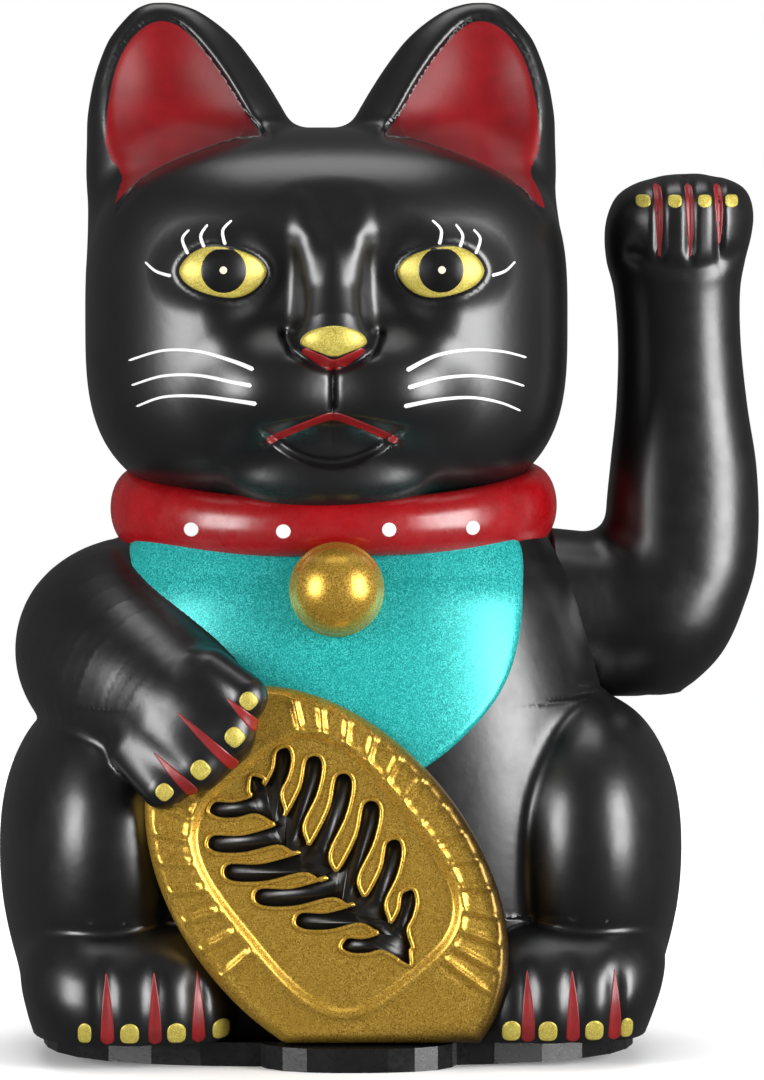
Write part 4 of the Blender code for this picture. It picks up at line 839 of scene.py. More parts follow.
# ---- painted strokes and patches, laid on the sculpted surface ------------------------------------
def first_met(shape, x, z, start=-78.0, rounds=90):
    """The y of the surface seen from the front at each x and z."""
    y = np.full(np.shape(x), start)
    for _ in range(rounds):
        y = y + np.clip(shape(x, y, z) * 0.8, -1.5, 5.0)
    return y


def laid(name, shape, x, z, rise, sink=0.25, closed=True):
    """A thin closed skin on the surface over a grid of places; rise is its height at each of them.

    The grid's rows are rings, the first one a single point repeated, when closed; else it is a strip.
    """
    rows, columns = x.shape
    flat_x, flat_z = x.reshape(-1), z.reshape(-1)
    y = first_met(shape, flat_x, flat_z)
    surface = np.stack([flat_x, y, flat_z], axis=1)
    slope = slope_of(shape, surface, 0.15)
    slope /= np.maximum(np.linalg.norm(slope, axis=1, keepdims=True), 1e-9)
    top = surface + slope * rise.reshape(-1, 1)
    bottom = surface - slope * sink
    total = rows * columns
    index = np.arange(total).reshape(rows, columns)
    if closed:
        after = np.roll(index, -1, axis=1)
        quads = np.stack([index[:-1], index[1:], after[1:], after[:-1]], axis=-1).reshape(-1, 4)
        rim = np.stack([index[-1], index[-1] + total, after[-1] + total, after[-1]], axis=1)
    else:
        corners = [index[:-1, :-1], index[1:, :-1], index[1:, 1:], index[:-1, 1:]]
        quads = np.stack(corners, axis=-1).reshape(-1, 4)
        loop = np.concatenate([index[:, 0], index[-1, 1:], index[-2::-1, -1], index[0, -2:0:-1]])
        following = np.roll(loop, -1)
        rim = np.stack([loop, loop + total, following + total, following], axis=1)
    faces = np.concatenate([quads, quads[:, ::-1] + total, rim])
    obj = new_object(name, np.concatenate([top, bottom]), faces)
    tidy_closed(obj)
    shade_smooth(obj)
    return obj


def shade_smooth(obj):
    obj.data.polygons.foreach_set("use_smooth", np.ones(len(obj.data.polygons), bool))


def tidy_closed(obj):
    """Points that coincide are made one, and the faces turned outwards."""
    bm = bmesh.new()
    bm.from_mesh(obj.data)
    bmesh.ops.remove_doubles(bm, verts=bm.verts, dist=2e-6)
    bmesh.ops.recalc_face_normals(bm, faces=bm.faces)
    bm.to_mesh(obj.data)
    bm.free()


def patch(name, shape, outline, rings=10, rise=0.12, edge=0.35, middle=None):
    """Paint inside a closed outline of (x, z) that can be seen whole from its middle."""
    outline = np.asarray(outline, float)
    middle = outline.mean(axis=0) if middle is None else np.asarray(middle, float)
    reach = np.linalg.norm(outline - middle, axis=1)
    part = np.concatenate([[0.0], np.linspace(1.0 / rings, 1.0, rings)])
    inner = 1 - edge / reach.min()
    if inner > part[-2]:
        part = np.append(part[:-1], (inner, 1.0))
    part[0] = 1e-4
    place = middle + (outline - middle)[None, :, :] * part[:, None, None]
    depth_in = (1 - part)[:, None] * reach[None, :]
    lift = rise * np.sqrt(np.clip(1 - (1 - np.clip(depth_in / edge, 0, 1)) ** 2, 0, 1)) + 0.01
    return laid(name, shape, place[..., 0], place[..., 1], lift)


def stroke(name, shape, points, widths, rise=0.12, count=48, across=7):
    """A brush stroke along a line of (x, z); widths are half widths spread along it."""
    line = evened(spline(points, 240), count)
    along = np.gradient(line, axis=0)
    along /= np.linalg.norm(along, axis=1, keepdims=True)
    side = np.stack([-along[:, 1], along[:, 0]], axis=1)
    at = np.linspace(0, 1, count)
    width = np.interp(at, np.linspace(0, 1, len(widths)), widths)
    length = np.linalg.norm(np.diff(line, axis=0), axis=1).sum()
    for end in (at, 1 - at):
        inside = np.clip(end * length / np.maximum(width, 1e-3), 0, 1)
        width = width * np.sqrt(np.clip(1 - (1 - inside) ** 2, 0.0004, 1))
    place = np.linspace(-1, 1, across)
    grid = line[:, None, :] + side[:, None, :] * (width[:, None] * place[None, :])[..., None]
    lift = rise * np.sqrt(1 - np.abs(place) ** 2.5 * 0.92)[None, :] * np.ones((count, 1))
    return laid(name, shape, grid[..., 0], grid[..., 1], lift, closed=False)


# ---- materials -----------------------------------------------------------------------------------
class Paint:
    """A node material with helpers to grow it."""

    def __init__(self, name):
        self.material = bpy.data.materials.new(name)
        self.material.use_nodes = True
        self.nodes = self.material.node_tree.nodes
        self.links = self.material.node_tree.links
        self.shader = self.nodes["Principled BSDF"]
        self.place = self.nodes.new("ShaderNodeTexCoord").outputs["Object"]

    def set(self, **values):
        for socket, value in values.items():
            self.shader.inputs[socket.replace("_", " ")].default_value = value
        return self

    def noise(self, scale, detail=2.0, roughness=0.5):
        node = self.nodes.new("ShaderNodeTexNoise")
        node.inputs["Scale"].default_value = scale
        node.inputs["Detail"].default_value = detail
        node.inputs["Roughness"].default_value = roughness
        self.links.new(self.place, node.inputs["Vector"])
        return node.outputs["Fac"]

    def cells(self, scale):
        node = self.nodes.new("ShaderNodeTexVoronoi")
        node.inputs["Scale"].default_value = scale
        self.links.new(self.place, node.inputs["Vector"])
        return node.outputs["Color"]

    def attribute(self, name):
        node = self.nodes.new("ShaderNodeAttribute")
        node.attribute_name = name
        return node.outputs["Fac"]

    def ramp(self, source, stops):
        node = self.nodes.new("ShaderNodeValToRGB")
        while len(node.color_ramp.elements) < len(stops):
            node.color_ramp.elements.new(0.5)
        for element, (at, colour) in zip(node.color_ramp.elements, stops):
            element.position = at
            element.color = (*colour, 1.0) if len(colour) == 3 else colour
        self.links.new(source, node.inputs["Fac"])
        return node.outputs["Color"]

    def span(self, source, from_low, from_high, to_low, to_high):
        node = self.nodes.new("ShaderNodeMapRange")
        node.inputs["From Min"].default_value = from_low
        node.inputs["From Max"].default_value = from_high
        node.inputs["To Min"].default_value = to_low
        node.inputs["To Max"].default_value = to_high
        self.links.new(source, node.inputs["Value"])
        return node.outputs["Result"]

    def mix(self, amount, first, second):
        node = self.nodes.new("ShaderNodeMix")
        node.data_type = "RGBA"
        self.links.new(amount, node.inputs["Factor"])
        for socket, value in (("A", first), ("B", second)):
            target = [s for s in node.inputs if s.name == socket and s.type == "RGBA"][0]
            if isinstance(value, tuple):
                target.default_value = (*value, 1.0)
            else:
                self.links.new(value, target)
        return [s for s in node.outputs if s.type == "RGBA"][0]

    def bump(self, height, distance, strength=1.0, after=None):
        node = self.nodes.new("ShaderNodeBump")
        node.inputs["Distance"].default_value = distance
        node.inputs["Strength"].default_value = strength
        self.links.new(height, node.inputs["Height"])
        if after is not None:
            self.links.new(after, node.inputs["Normal"])
        self.links.new(node.outputs["Normal"], self.shader.inputs["Normal"])
        return node.outputs["Normal"]

    def colour(self, source):
        self.links.new(source, self.shader.inputs["Base Color"])
        return self

    def roughness(self, source):
        self.links.new(source, self.shader.inputs["Roughness"])
        return self


def satin_black(name):
    """Sprayed semi-gloss black with a fine orange peel and soft dust-like variation."""
    paint = Paint(name)
    patchy = paint.noise(55, 4, 0.6)
    paint.colour(paint.ramp(patchy, [(0.3, (0.0022, 0.0022, 0.0025)), (0.75, (0.0045, 0.0045, 0.005))]))
    paint.roughness(paint.span(paint.noise(240, 3), 0.3, 0.7, 0.31, 0.37))
    peel = paint.bump(paint.noise(620, 2, 0.4), 0.00004, 0.55)
    paint.bump(paint.noise(2600, 1), 0.00001, 0.5, peel)
    paint.set(Specular_IOR_Level=0.62)
    return paint


def plain_paint(name, dark, light, roughness):
    paint = Paint(name)
    paint.colour(paint.ramp(paint.noise(180, 4, 0.6), [(0.3, dark), (0.72, light)]))
    paint.roughness(paint.span(paint.noise(420, 3), 0.3, 0.7, roughness - 0.04, roughness + 0.05))
    paint.bump(paint.noise(700, 2, 0.4), 0.00003, 0.45)
    return paint


def flake_paint(name, dark, middle, light, metallic, roughness, scale=5200):
    """Metallic paint: fine flakes that differ in brightness and tilt a little."""
    paint = Paint(name)
    flakes = paint.cells(scale)
    tone = paint.ramp(flakes, [(0.12, dark), (0.5, middle), (0.9, light)])
    cloudy = paint.noise(160, 3, 0.55)
    paint.colour(paint.mix(paint.span(cloudy, 0.35, 0.65, 0.0, 0.35), tone, middle))
    paint.roughness(paint.span(flakes, 0.0, 1.0, roughness - 0.07, roughness + 0.1))
    fine = paint.bump(paint.noise(scale * 0.8, 1), 0.00003, 0.3)
    paint.bump(paint.noise(650, 2, 0.4), 0.00003, 0.4, fine)
    paint.set(Metallic=metallic)
    return paint


BLACK = satin_black("satin_black_paint")
RED = plain_paint("red_lacquer", (0.16, 0.0008, 0.002), (0.21, 0.0015, 0.0035), 0.27)
STROKE_RED = plain_paint("brushed_red_paint", (0.12, 0.001, 0.002), (0.19, 0.003, 0.004), 0.42)
WHITE = plain_paint("white_line_paint", (0.50, 0.50, 0.50), (0.62, 0.62, 0.62), 0.4)
CREAM = plain_paint("cream_dot_paint", (0.40, 0.36, 0.28), (0.52, 0.48, 0.38), 0.4)
PUPIL = plain_paint("black_line_paint", (0.0015, 0.0015, 0.0015), (0.004, 0.004, 0.004), 0.32)
GOLD_TONES = ((0.29, 0.160, 0.015), (0.46, 0.270, 0.033), (0.66, 0.43, 0.09))
GOLD = flake_paint("gold_paint", *GOLD_TONES, 0.75, 0.31)
EYE_TONES = ((0.27, 0.21, 0.025), (0.37, 0.30, 0.045), (0.52, 0.45, 0.12))
EYE_GOLD = flake_paint("yellow_gold_paint", *EYE_TONES, 0.35, 0.42)
TEAL_TONES = ((0.0, 0.165, 0.155), (0.004, 0.28, 0.265), (0.05, 0.50, 0.48))
TEAL = flake_paint("teal_glitter_paint", *TEAL_TONES, 0.35, 0.38)


def head_paint():
    """Black, with red sprayed in the ears, darkened low and inside each bowl by painted shade and black
    overspray, and a painted reflection of the teal bib under the chin and in the mouth.
    """
    paint = satin_black("head_paint")
    paint.roughness(paint.span(paint.attribute("ear_paint"), 0.45, 0.55, 0.33, 0.45))
    gloss = paint.span(paint.attribute("ear_paint"), 0.45, 0.55, 0.62, 0.2)
    paint.links.new(gloss, paint.shader.inputs["Specular IOR Level"])
    black = paint.shader.inputs["Base Color"].links[0].from_socket
    red_tones = [(0.3, (0.12, 0.0008, 0.002)), (0.72, (0.165, 0.0015, 0.004))]
    reds = paint.ramp(paint.noise(160, 4, 0.6), red_tones)
    # The red fades to near black low and inside each bowl: painted shade in the bowl's depth, together with
    # black overspray.
    reds_shaded = paint.mix(paint.attribute("ear_shade_and_overspray"), reds, (0.012, 0.002, 0.003))
    sharp = paint.span(paint.attribute("ear_paint"), 0.47, 0.53, 0.0, 1.0)
    with_ears = paint.mix(sharp, black, reds_shaded)
    # The teal is a painted reflection of the bib, laid on the chin and in the mouth.
    reflection_strength = paint.nodes.new("ShaderNodeMath")
    reflection_strength.operation = "MULTIPLY"
    paint.links.new(paint.attribute("teal_bib_reflection"), reflection_strength.inputs[0])
    paint.links.new(paint.span(paint.noise(2300, 2), 0.35, 0.75, 0.0, 0.6), reflection_strength.inputs[1])
    paint.colour(paint.mix(reflection_strength.outputs["Value"], with_ears, (0.0, 0.12, 0.11)))
    return paint


HEAD_PAINT = head_paint()


def coin_paint():
    """The gold, with dark overspray round the coin's edge."""
    paint = flake_paint("coin_gold_paint", *GOLD_TONES, 0.75, 0.31)
    gold = paint.shader.inputs["Base Color"].links[0].from_socket
    paint.colour(paint.mix(paint.attribute("overspray"), gold, (0.02, 0.010, 0.004)))
    return paint


def dress(obj, paint, body="body"):
    """The coating, and the body it rides on."""
    obj.data.materials.clear()
    obj.data.materials.append(paint.material)
    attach(obj, body)
    return obj


def write_attribute(obj, name, values):
    layer = obj.data.attributes.new(name, "FLOAT", "POINT")
    layer.data.foreach_set("value", np.asarray(values, np.float32))


# ---- shells --------------------------------------------------------------------------------------
def head_cavity(x, y, z):
    found = pillow(x, y, z, (HEAD_X, -3.2, 139.0), (46.7 - WALL, 42.3 - WALL - 1.5, 37.0 - WALL), 2.3, 3.2)
    u = np.abs(x - FACE_X)
    found = carve(found, eye_socket(u, y, z, WALL), 6.0)
    found = carve(found, forehead_dip(u, y, z, WALL), 6.0)
    v = np.abs(x - EAR_X)
    pocket = pillow(v, y, z, (28.0, -20.0, 180.0), (17.5, 25.5, 22.0), 2.3, 2.6)
    return carve(found, pocket, 2.0)


def body_cavity(x, y, z):
    found = blend(TORSO(x, y, z), legs(x, y, z), 2.4)
    found = blend(found, limb(x, y, z, RESTING_ARM, 2.0), 1.6) + WALL
    found = np.where(z < 25, np.maximum(found, TORSO(x, y, z) + WALL), found)
    rod = rod_along_x(x, y, z, AXIS_Y, AXIS_Z, POCKET_RADIUS + WALL, POCKET_X - WALL, 120.0)
    found = carve(found, rod, 0.5)
    for screw_x in (-BASE_SCREW_X, BASE_SCREW_X):
        for screw_y in (BASE_SCREW_FRONT, BASE_SCREW_BACK):
            boss = np.hypot(x - screw_x, y - screw_y) - BOSS_RADIUS
            rib = np.maximum(np.abs(y - screw_y) - 1.3, -np.sign(screw_x) * (x - screw_x))
            post = np.maximum(np.minimum(boss, rib), z - BOSS_TOP)
            found = np.maximum(found, -post)
    return found


def arm_cavity(x, y, z):
    return raised_arm(x, y, z) + ARM_WALL + 0.2


def make_head():
    whole = sculpted("head_front", head, *HEAD_GRID, HEAD_STEP)
    hollow = sculpted("hollow", head_cavity, *HEAD_HOLLOW_GRID, CAVITY_STEP, 1)
    cut(whole, [hollow, box_cutter((-BEYOND, -BEYOND, 0), (BEYOND, BEYOND, NECK_Z + 0.2))])
    for obj in halves(whole, "head_front", "head_rear"):
        shade_from(obj, head, 66.0)
        x, y, z = points_of(obj).T
        v = np.abs(x - EAR_X)
        gap = cup_gap(v, z)
        faces_front = slope_of(head, points_of(obj))[:, 1] < -0.15
        seen = faces_front & (z > 156) & (np.abs(y - cup_floor(v, z) + 3.0) < 6.0)
        write_attribute(obj, "ear_paint", np.where(seen, np.clip(0.5 - (gap + 0.25) * 0.25, 0, 1), 0))
        # Strongest at the cup's lower edge and inner side: painted shade in the bowl, together with black
        # overspray.
        foot_of_cup = np.interp(v, (12, 21, 30, 42), (174.6, 172.4, 169.0, 160.5))
        low_edge = smooth_step(9.0, -1.0, z - foot_of_cup)
        inner = smooth_step(30.0, 12.0, v)
        write_attribute(obj, "ear_shade_and_overspray", np.clip(0.78 * low_edge * (0.35 + 0.65 * inner), 0, 1))
        # Where the painted reflection of the teal bib falls: under the chin and along the mouth.
        u = x - FACE_X
        chin = smooth_step(112.0, 104.0, z) * smooth_step(-26.0, -34.0, y)
        side = np.exp(-(((np.abs(u) - 17.0) / 9.0) ** 2))
        mouth = groove(line_gap(np.abs(u), z, [(5.0, 120.0), (12.5, 119.2)]), 0.55, 1.7) * (y < -34)
        write_attribute(obj, "teal_bib_reflection", np.clip(chin * side * 0.75 + mouth, 0, 1))
        dress(obj, HEAD_PAINT)
        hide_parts("front_shell" if obj.name == "head_front" else "rear_shell")


def make_body():
    whole = sculpted("body_front", body, *BODY_GRID, BODY_STEP)
    hollow = sculpted("hollow", body_cavity, *BODY_HOLLOW_GRID, CAVITY_STEP, 1)
    cutters = [
        hollow,
        box_cutter((-BEYOND, -BEYOND, NECK_Z - 0.2), (BEYOND, BEYOND, 200)),
        box_cutter((-BEYOND, -BEYOND, -20), (BEYOND, BEYOND, SHELL_BOTTOM)),
        rod_cutter((10, AXIS_Y, AXIS_Z), (80, AXIS_Y, AXIS_Z), AXLE_HOLE),
    ]
    for screw_x in (-BASE_SCREW_X, BASE_SCREW_X):
        for screw_y in (BASE_SCREW_FRONT, BASE_SCREW_BACK):
            start, end = (screw_x, screw_y, 0), (screw_x, screw_y, SCREW_REACH)
            cutters.append(rod_cutter(start, end, SCREW_HOLE, 24))
    cut(whole, cutters)
    for obj in halves(whole, "body_front", "body_rear"):
        shade_from(obj, body)
        dress(obj, BLACK)
        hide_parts("front_shell" if obj.name == "body_front" else "rear_shell")


def make_arm():
    whole = sculpted("arm_front", raised_arm, *ARM_GRID, ARM_STEP)
    hollow = sculpted("hollow", arm_cavity, *ARM_GRID, CAVITY_STEP * 0.7, 1)
    cut(whole, [hollow, rod_cutter((36, AXIS_Y, AXIS_Z), (46, AXIS_Y, AXIS_Z), HUB_HOLE)])
    for obj in halves(whole, "arm_front", "arm_rear"):
        shade_from(obj, raised_arm)
        dress(obj, BLACK, "arm")
        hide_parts("arm_front_shell" if obj.name == "arm_front" else "arm_rear_shell")


def make_collar():
    whole = sculpted("collar_front", collar, *COLLAR_GRID, COLLAR_STEP)
    for obj in halves(whole, "collar_front", "collar_rear"):
        shade_from(obj, collar)
        dress(obj, RED)
        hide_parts("front_shell" if obj.name == "collar_front" else "rear_shell")
    ball = sculpted("bell", bell, *BELL_GRID, BELL_STEP)
    shade_from(ball, bell)
    dress(ball, GOLD)
    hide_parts("front_shell")


def make_coin():
    columns, rings = ((420, 120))
    angle = np.linspace(0, 2 * np.pi, columns, endpoint=False)
    rim = np.stack([COIN_HALF[0] * np.cos(angle), COIN_SHIFT + COIN_HALF[1] * np.sin(angle)], axis=1)
    x, z = coin_to_world(rim[:, 0], rim[:, 1])
    low = z < COIN_BOTTOM_Z
    middle_z = COIN_MIDDLE[2]
    shrink = np.where(low, (middle_z - COIN_BOTTOM_Z) / np.maximum(middle_z - z, 1e-6), 1.0)
    rim = rim * shrink[:, None]
    outer = 1 - np.linspace(0.31, 0, 21)[1:] ** 2
    part = np.concatenate([[1e-4], np.linspace(1 / rings, 0.9, rings - 20), outer])
    s = rim[None, :, 0] * part[:, None]
    t = rim[None, :, 1] * part[:, None]
    ellipse = np.hypot(s / COIN_HALF[0], (t - COIN_SHIFT) / COIN_HALF[1])
    steep = np.hypot(s / COIN_HALF[0] ** 2, (t - COIN_SHIFT) / COIN_HALF[1] ** 2)
    edge = (1 - ellipse) / np.maximum(steep / np.maximum(ellipse, 1e-6), 1e-3)
    x, z = coin_to_world(s, t)
    edge = np.clip(np.minimum(edge, z - COIN_BOTTOM_Z), 0, None)
    y = coin_level(s) - coin_relief(s, t, edge)
    top = np.stack([x, y, z], axis=-1).reshape(-1, 3)
    side_rows = np.linspace(0, 1, 9)[1:]
    sides = []
    for f in side_rows:
        ring = top[-columns:].copy()
        ring[:, 1] += (COIN_BACK_Y - ring[:, 1]) * f
        sides.append(ring)
    back_middle = np.array([[COIN_MIDDLE[0], COIN_BACK_Y, COIN_MIDDLE[2]]])
    points = np.concatenate([top] + sides + [back_middle])
    rows = len(part) + len(side_rows)
    index = np.arange(rows * columns).reshape(rows, columns)
    after = np.roll(index, -1, axis=1)
    quads = np.stack([index[:-1], index[1:], after[1:], after[:-1]], axis=-1).reshape(-1, 4)
    fan = [[int(index[-1, c]), rows * columns, int(after[-1, c])] for c in range(columns)]
    obj = new_object("coin", points, [list(map(int, q)) for q in quads] + fan)
    edge_in = np.concatenate([edge.reshape(-1), np.zeros(len(points) - edge.size)])
    right = np.clip(((points[:, 0] - COIN_MIDDLE[0]) * COIN_SHORT[0]) / 18.0, 0.15, 1.0)
    write_attribute(obj, "overspray", np.clip(0.9 * smooth_step(4.6, 0.3, edge_in) * right, 0, 1))
    tidy_closed(obj)
    shade_smooth(obj)
    dress(obj, coin_paint())
    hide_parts("front_shell")


make_head()
make_body()
make_arm()
make_collar()
make_coin()


# ---- painted details -----------------------------------------------------------------------------
# Distance from the middle of the face, and height, along each whisker.
WHISKERS = {
    "right": [
        [(14.9, 131.2), (18.7, 132.7), (25.1, 134.4), (31.7, 134.4), (38.0, 132.3)],
        [(15.3, 128.2), (18.7, 128.8), (25.1, 129.9), (31.7, 129.6), (37.5, 127.6)],
        [(14.4, 124.8), (18.7, 125.4), (25.1, 126.0), (31.7, 125.6), (36.6, 123.6)],
    ],
    "left": [
        [(13.6, 131.0), (19.5, 133.7), (26.1, 134.6), (32.4, 134.1), (37.2, 132.8)],
        [(13.8, 127.8), (20.2, 129.4), (26.6, 129.7), (32.4, 128.8), (36.8, 127.4)],
        [(13.1, 124.3), (19.4, 125.4), (26.1, 125.6), (31.8, 124.5), (36.1, 122.7)],
    ],
}


def face_place(side, u, v):
    return FACE_X + side * (EYE_U + u), EYE_Z + v


def mirrored_line(half, middle_z):
    """A line across the face from its half on the cat's left."""
    right = [(FACE_X - u, z) for u, z in half[::-1]]
    return right + [(FACE_X, middle_z)] + [(FACE_X + u, z) for u, z in half]


def paint_face():
    for side, word in ((-1, "right"), (1, "left")):
        rim = eye_outline(72) * 0.985
        outline = [face_place(side, u, v) for u, v in rim]
        dress(patch("eye_" + word, head, outline, 14, 0.10), EYE_GOLD)
        angle = np.linspace(0, 2 * np.pi, 60, endpoint=False)
        ring = [face_place(side, 4.4 * math.cos(a) - 0.1, 4.4 * math.sin(a) + 0.25) for a in angle]
        ring = [(x, min(z, EYE_Z + 4.4)) for x, z in ring]
        dress(patch("pupil_" + word, head, ring, 10, 0.17), PUPIL)
        dot = [face_place(side, 0.85 * math.cos(a), 0.85 * math.sin(a) + 0.3) for a in angle[::2]]
        dress(patch("eye_dot_" + word, head, dot, 4, 0.26, 0.3), CREAM)
        lashes = [
            [(14.4, 1.6), (12.4, -0.1), (9.6, -0.9)],
            [(6.2, 7.8), (7.5, 6.0), (6.5, 3.2)],
            [(2.8, 8.8), (4.1, 6.7), (3.5, 4.5)],
            [(-1.7, 9.6), (0.0, 7.7), (-0.4, 5.0)],
        ]
        for number, lash in enumerate(lashes, 1):
            line = [face_place(side, u, v) for u, v in lash]
            obj = stroke(f"lash_{word}_{number}", head, line, (0.2, 0.27, 0.32), 0.14, 40, 5)
            dress(obj, WHITE)
        for number, whisker in enumerate(WHISKERS[word], 1):
            line = [(FACE_X + side * u, z) for u, z in whisker]
            widths = (0.42, 0.34, 0.3, 0.26, 0.2)
            obj = stroke(f"whisker_{word}_{number}", head, line, widths, 0.14, 80, 5)
            dress(obj, WHITE)
    nose = spline(
        [(-6.2, 136.2), (-4.6, 138.4), (0.0, 139.5), (4.6, 138.4), (6.2, 136.2), (3.0, 134.6),
         (0.0, 133.7), (-3.0, 134.6)],
        64, closed=True,
    )
    dress(patch("nose", head, nose + (FACE_X, 0), 10, 0.12), EYE_GOLD)
    half_under = [(2.8, 133.2), (5.8, 135.0)]
    under = mirrored_line(half_under, 132.0)
    nose_edge = stroke("nose_edge", head, under, (0.6, 0.95, 1.1, 0.95, 0.6), 0.13, 60)
    dress(nose_edge, STROKE_RED)
    half_lip = [(2.0, 121.9), (7.0, 119.9), (12.4, 117.5)]
    lip = mirrored_line(half_lip, 122.3)
    lip_line = stroke("lip_line", head, lip, (0.75, 0.7, 0.8, 0.7, 0.75), 0.14, 90)
    dress(lip_line, STROKE_RED)


def wedge(name, shape, top, bottom, half, body_name):
    """A toe stroke: pointed at the top and broad at the bottom."""
    top, bottom = np.array(top, float), np.array(bottom, float)
    line = [tuple(top + (bottom - top) * f) for f in (0, 0.33, 0.66, 1.0)]
    obj = stroke(name, shape, line, (0.12, half * 0.55, half * 0.85, half), 0.12, 50)
    return dress(obj, STROKE_RED, body_name)


def claw(name, shape, middle, half_wide, half_high, turn, body_name):
    """A rounded claw spot; turn is the direction of its tip in degrees, 0 upwards."""
    angle = np.linspace(0, 2 * np.pi, 48, endpoint=False)
    c, s = np.cos(angle), np.sin(angle)
    u = half_wide * np.sign(c) * np.abs(c) ** 0.62
    v = half_high * np.sign(s) * np.abs(s) ** 0.62
    v = np.where(s > 0, v * (1 - 0.25 * np.abs(c)), v)
    a = math.radians(turn)
    x = middle[0] + u * math.cos(a) - v * math.sin(a)
    z = middle[1] + u * math.sin(a) + v * math.cos(a)
    spot = patch(name, shape, np.stack([x, z], axis=1), 7, 0.12, 0.3)
    return dress(spot, EYE_GOLD, body_name)


def paint_feet():
    for word, gaps, claws in (
        ("right", LEFT_TOE_GAPS, (-49.6, -41.2, -32.4, -23.8)),
        ("left", RIGHT_TOE_GAPS, (30.4, 37.2, 46.0, 52.4)),
    ):
        for number, x in enumerate(gaps, 1):
            wedge(f"foot_{word}_stroke_{number}", body, (x, 18.6), (x + 0.2, 5.0), 1.35, "body")
        for number, x in enumerate(claws, 1):
            outermost = x < -49 or x > 51
            half = 1.25 if outermost else 1.75
            claw(f"foot_{word}_claw_{number}", body, (x, 7.3), half, 1.95, 0, "body")


def paint_resting_paw():
    strokes = [
        ((-32.2, 67.6), (-21.0, 57.0)),
        ((-36.6, 60.0), (-28.8, 52.1)),
        ((-23.0, 70.3), (-16.9, 64.4)),
    ]
    for number, (top, bottom) in enumerate(strokes, 1):
        wedge(f"paw_stroke_{number}", body, top, bottom, 1.2, "body")
    claws = [((-19.0, 69.9), 1.6), ((-21.6, 63.2), 1.75), ((-28.0, 57.1), 1.75), ((-34.7, 52.8), 1.55)]
    for number, (middle, half) in enumerate(claws, 1):
        claw(f"paw_claw_{number}", body, middle, half, half * 1.05, 45, "body")


def paint_raised_paw():
    for number, x in enumerate(FINGER_GAPS, 1):
        low = 151.2 if number < 3 else 153.6
        line = [(x - 0.1, 165.2), (x, 161.0), (x + 0.1, 156.0), (x + 0.05, low)]
        obj = stroke(f"raised_stroke_{number}", raised_arm, line, (0.75, 0.8, 0.6, 0.25), 0.12, 60)
        dress(obj, STROKE_RED, "arm")
    for number, x in enumerate(FINGER_TIPS, 1):
        claw(f"raised_claw_{number}", raised_arm, (x, 161.9), 1.35, 1.25, 180, "arm")


def paint_collar_and_bib():
    angle = np.linspace(0, 2 * np.pi, 40, endpoint=False)
    dots, dot_radius = ((-29.0, 100.4), (-11.9, 100.5), (8.0, 100.8), (24.2, 100.7)), 1.35
    for number, (x, z) in enumerate(dots, 1):
        ring = [(x + dot_radius * math.cos(a), z + dot_radius * math.sin(a)) for a in angle]
        dress(patch(f"collar_dot_{number}", collar, ring, 6, 0.14, 0.4), WHITE)
    outline = spline(
        [(-3.2, 51.4), (8.0, 53.2), (17.8, 58.6), (27.0, 67.3), (31.8, 76.0), (33.8, 87.5),
         (32.4, 99.0), (16.0, 100.5), (-3.2, 100.5), (-22.4, 100.5), (-38.6, 99.0), (-40.4, 87.5),
         (-39.0, 77.0), (-34.6, 67.4), (-26.0, 58.9), (-15.0, 53.4)],
        180, closed=True,
    )
    bib = patch("bib", TORSO, outline, 36, 0.5, 1.0, middle=(-3.2, 80.0))
    dress(bib, TEAL)


paint_face()
paint_feet()
paint_resting_paw()
paint_raised_paw()
paint_collar_and_bib()


# ---- coin ornament -------------------------------------------------------------------------------
def prism(name, outline, front, thickness):
    """A flat plate on the coin; front is how far its face lies behind the coin's base level."""
    x, z = coin_to_world(outline[:, 0], outline[:, 1])
    y = coin_level(outline[:, 0]) + front
    count = len(outline)
    points = np.concatenate([np.stack([x, y, z], axis=1), np.stack([x, y + thickness, z], axis=1)])
    rim = [[i, (i + 1) % count, count + (i + 1) % count, count + i] for i in range(count)]
    obj = new_object(name, points, [list(range(count)), list(range(count, 2 * count))] + rim)
    tidy_closed(obj)
    return obj


def make_ornament():
    plate = prism("coin_ornament", ORNAMENT, FIELD_SINK + 0.55, 1.2)
    dress(plate, PUPIL)
    sides, half_wide, half_high = 8, 0.42, 0.5
    along = np.roll(ORNAMENT, -1, axis=0) - np.roll(ORNAMENT, 1, axis=0)
    along /= np.linalg.norm(along, axis=1, keepdims=True)
    across = np.stack([-along[:, 1], along[:, 0]], axis=1)
    rows = []
    for k in range(sides):
        turn = 2 * math.pi * k / sides
        place = ORNAMENT + across * half_wide * math.cos(turn)
        px, pz = coin_to_world(place[:, 0], place[:, 1])
        py = coin_level(place[:, 0]) + FIELD_SINK + half_high * math.sin(turn)
        rows.append(np.stack([px, py, pz], axis=1))
    index = np.arange(sides * len(ORNAMENT)).reshape(sides, len(ORNAMENT))
    beside = np.roll(index, -1, axis=0)
    quads = np.stack([index, np.roll(index, -1, axis=1), np.roll(beside, -1, axis=1), beside], axis=-1)
    edge = new_object("coin_ornament_edge", np.concatenate(rows), quads.reshape(-1, 4))
    tidy_closed(edge)
    shade_smooth(edge)
    dress(edge, GOLD)


make_ornament()


# ---- carried-over CAD pieces ---------------------------------------------------------------------
def moulded(name, dark, light, roughness):
    """Moulded plastic with a fine spark-eroded grain."""
    paint = Paint(name)
    paint.colour(paint.ramp(paint.noise(90, 4, 0.6), [(0.3, dark), (0.75, light)]))
    paint.roughness(paint.span(paint.noise(900, 3), 0.3, 0.7, roughness - 0.05, roughness + 0.06))
    paint.bump(paint.noise(1900, 2), 0.00003, 0.5)
    return paint


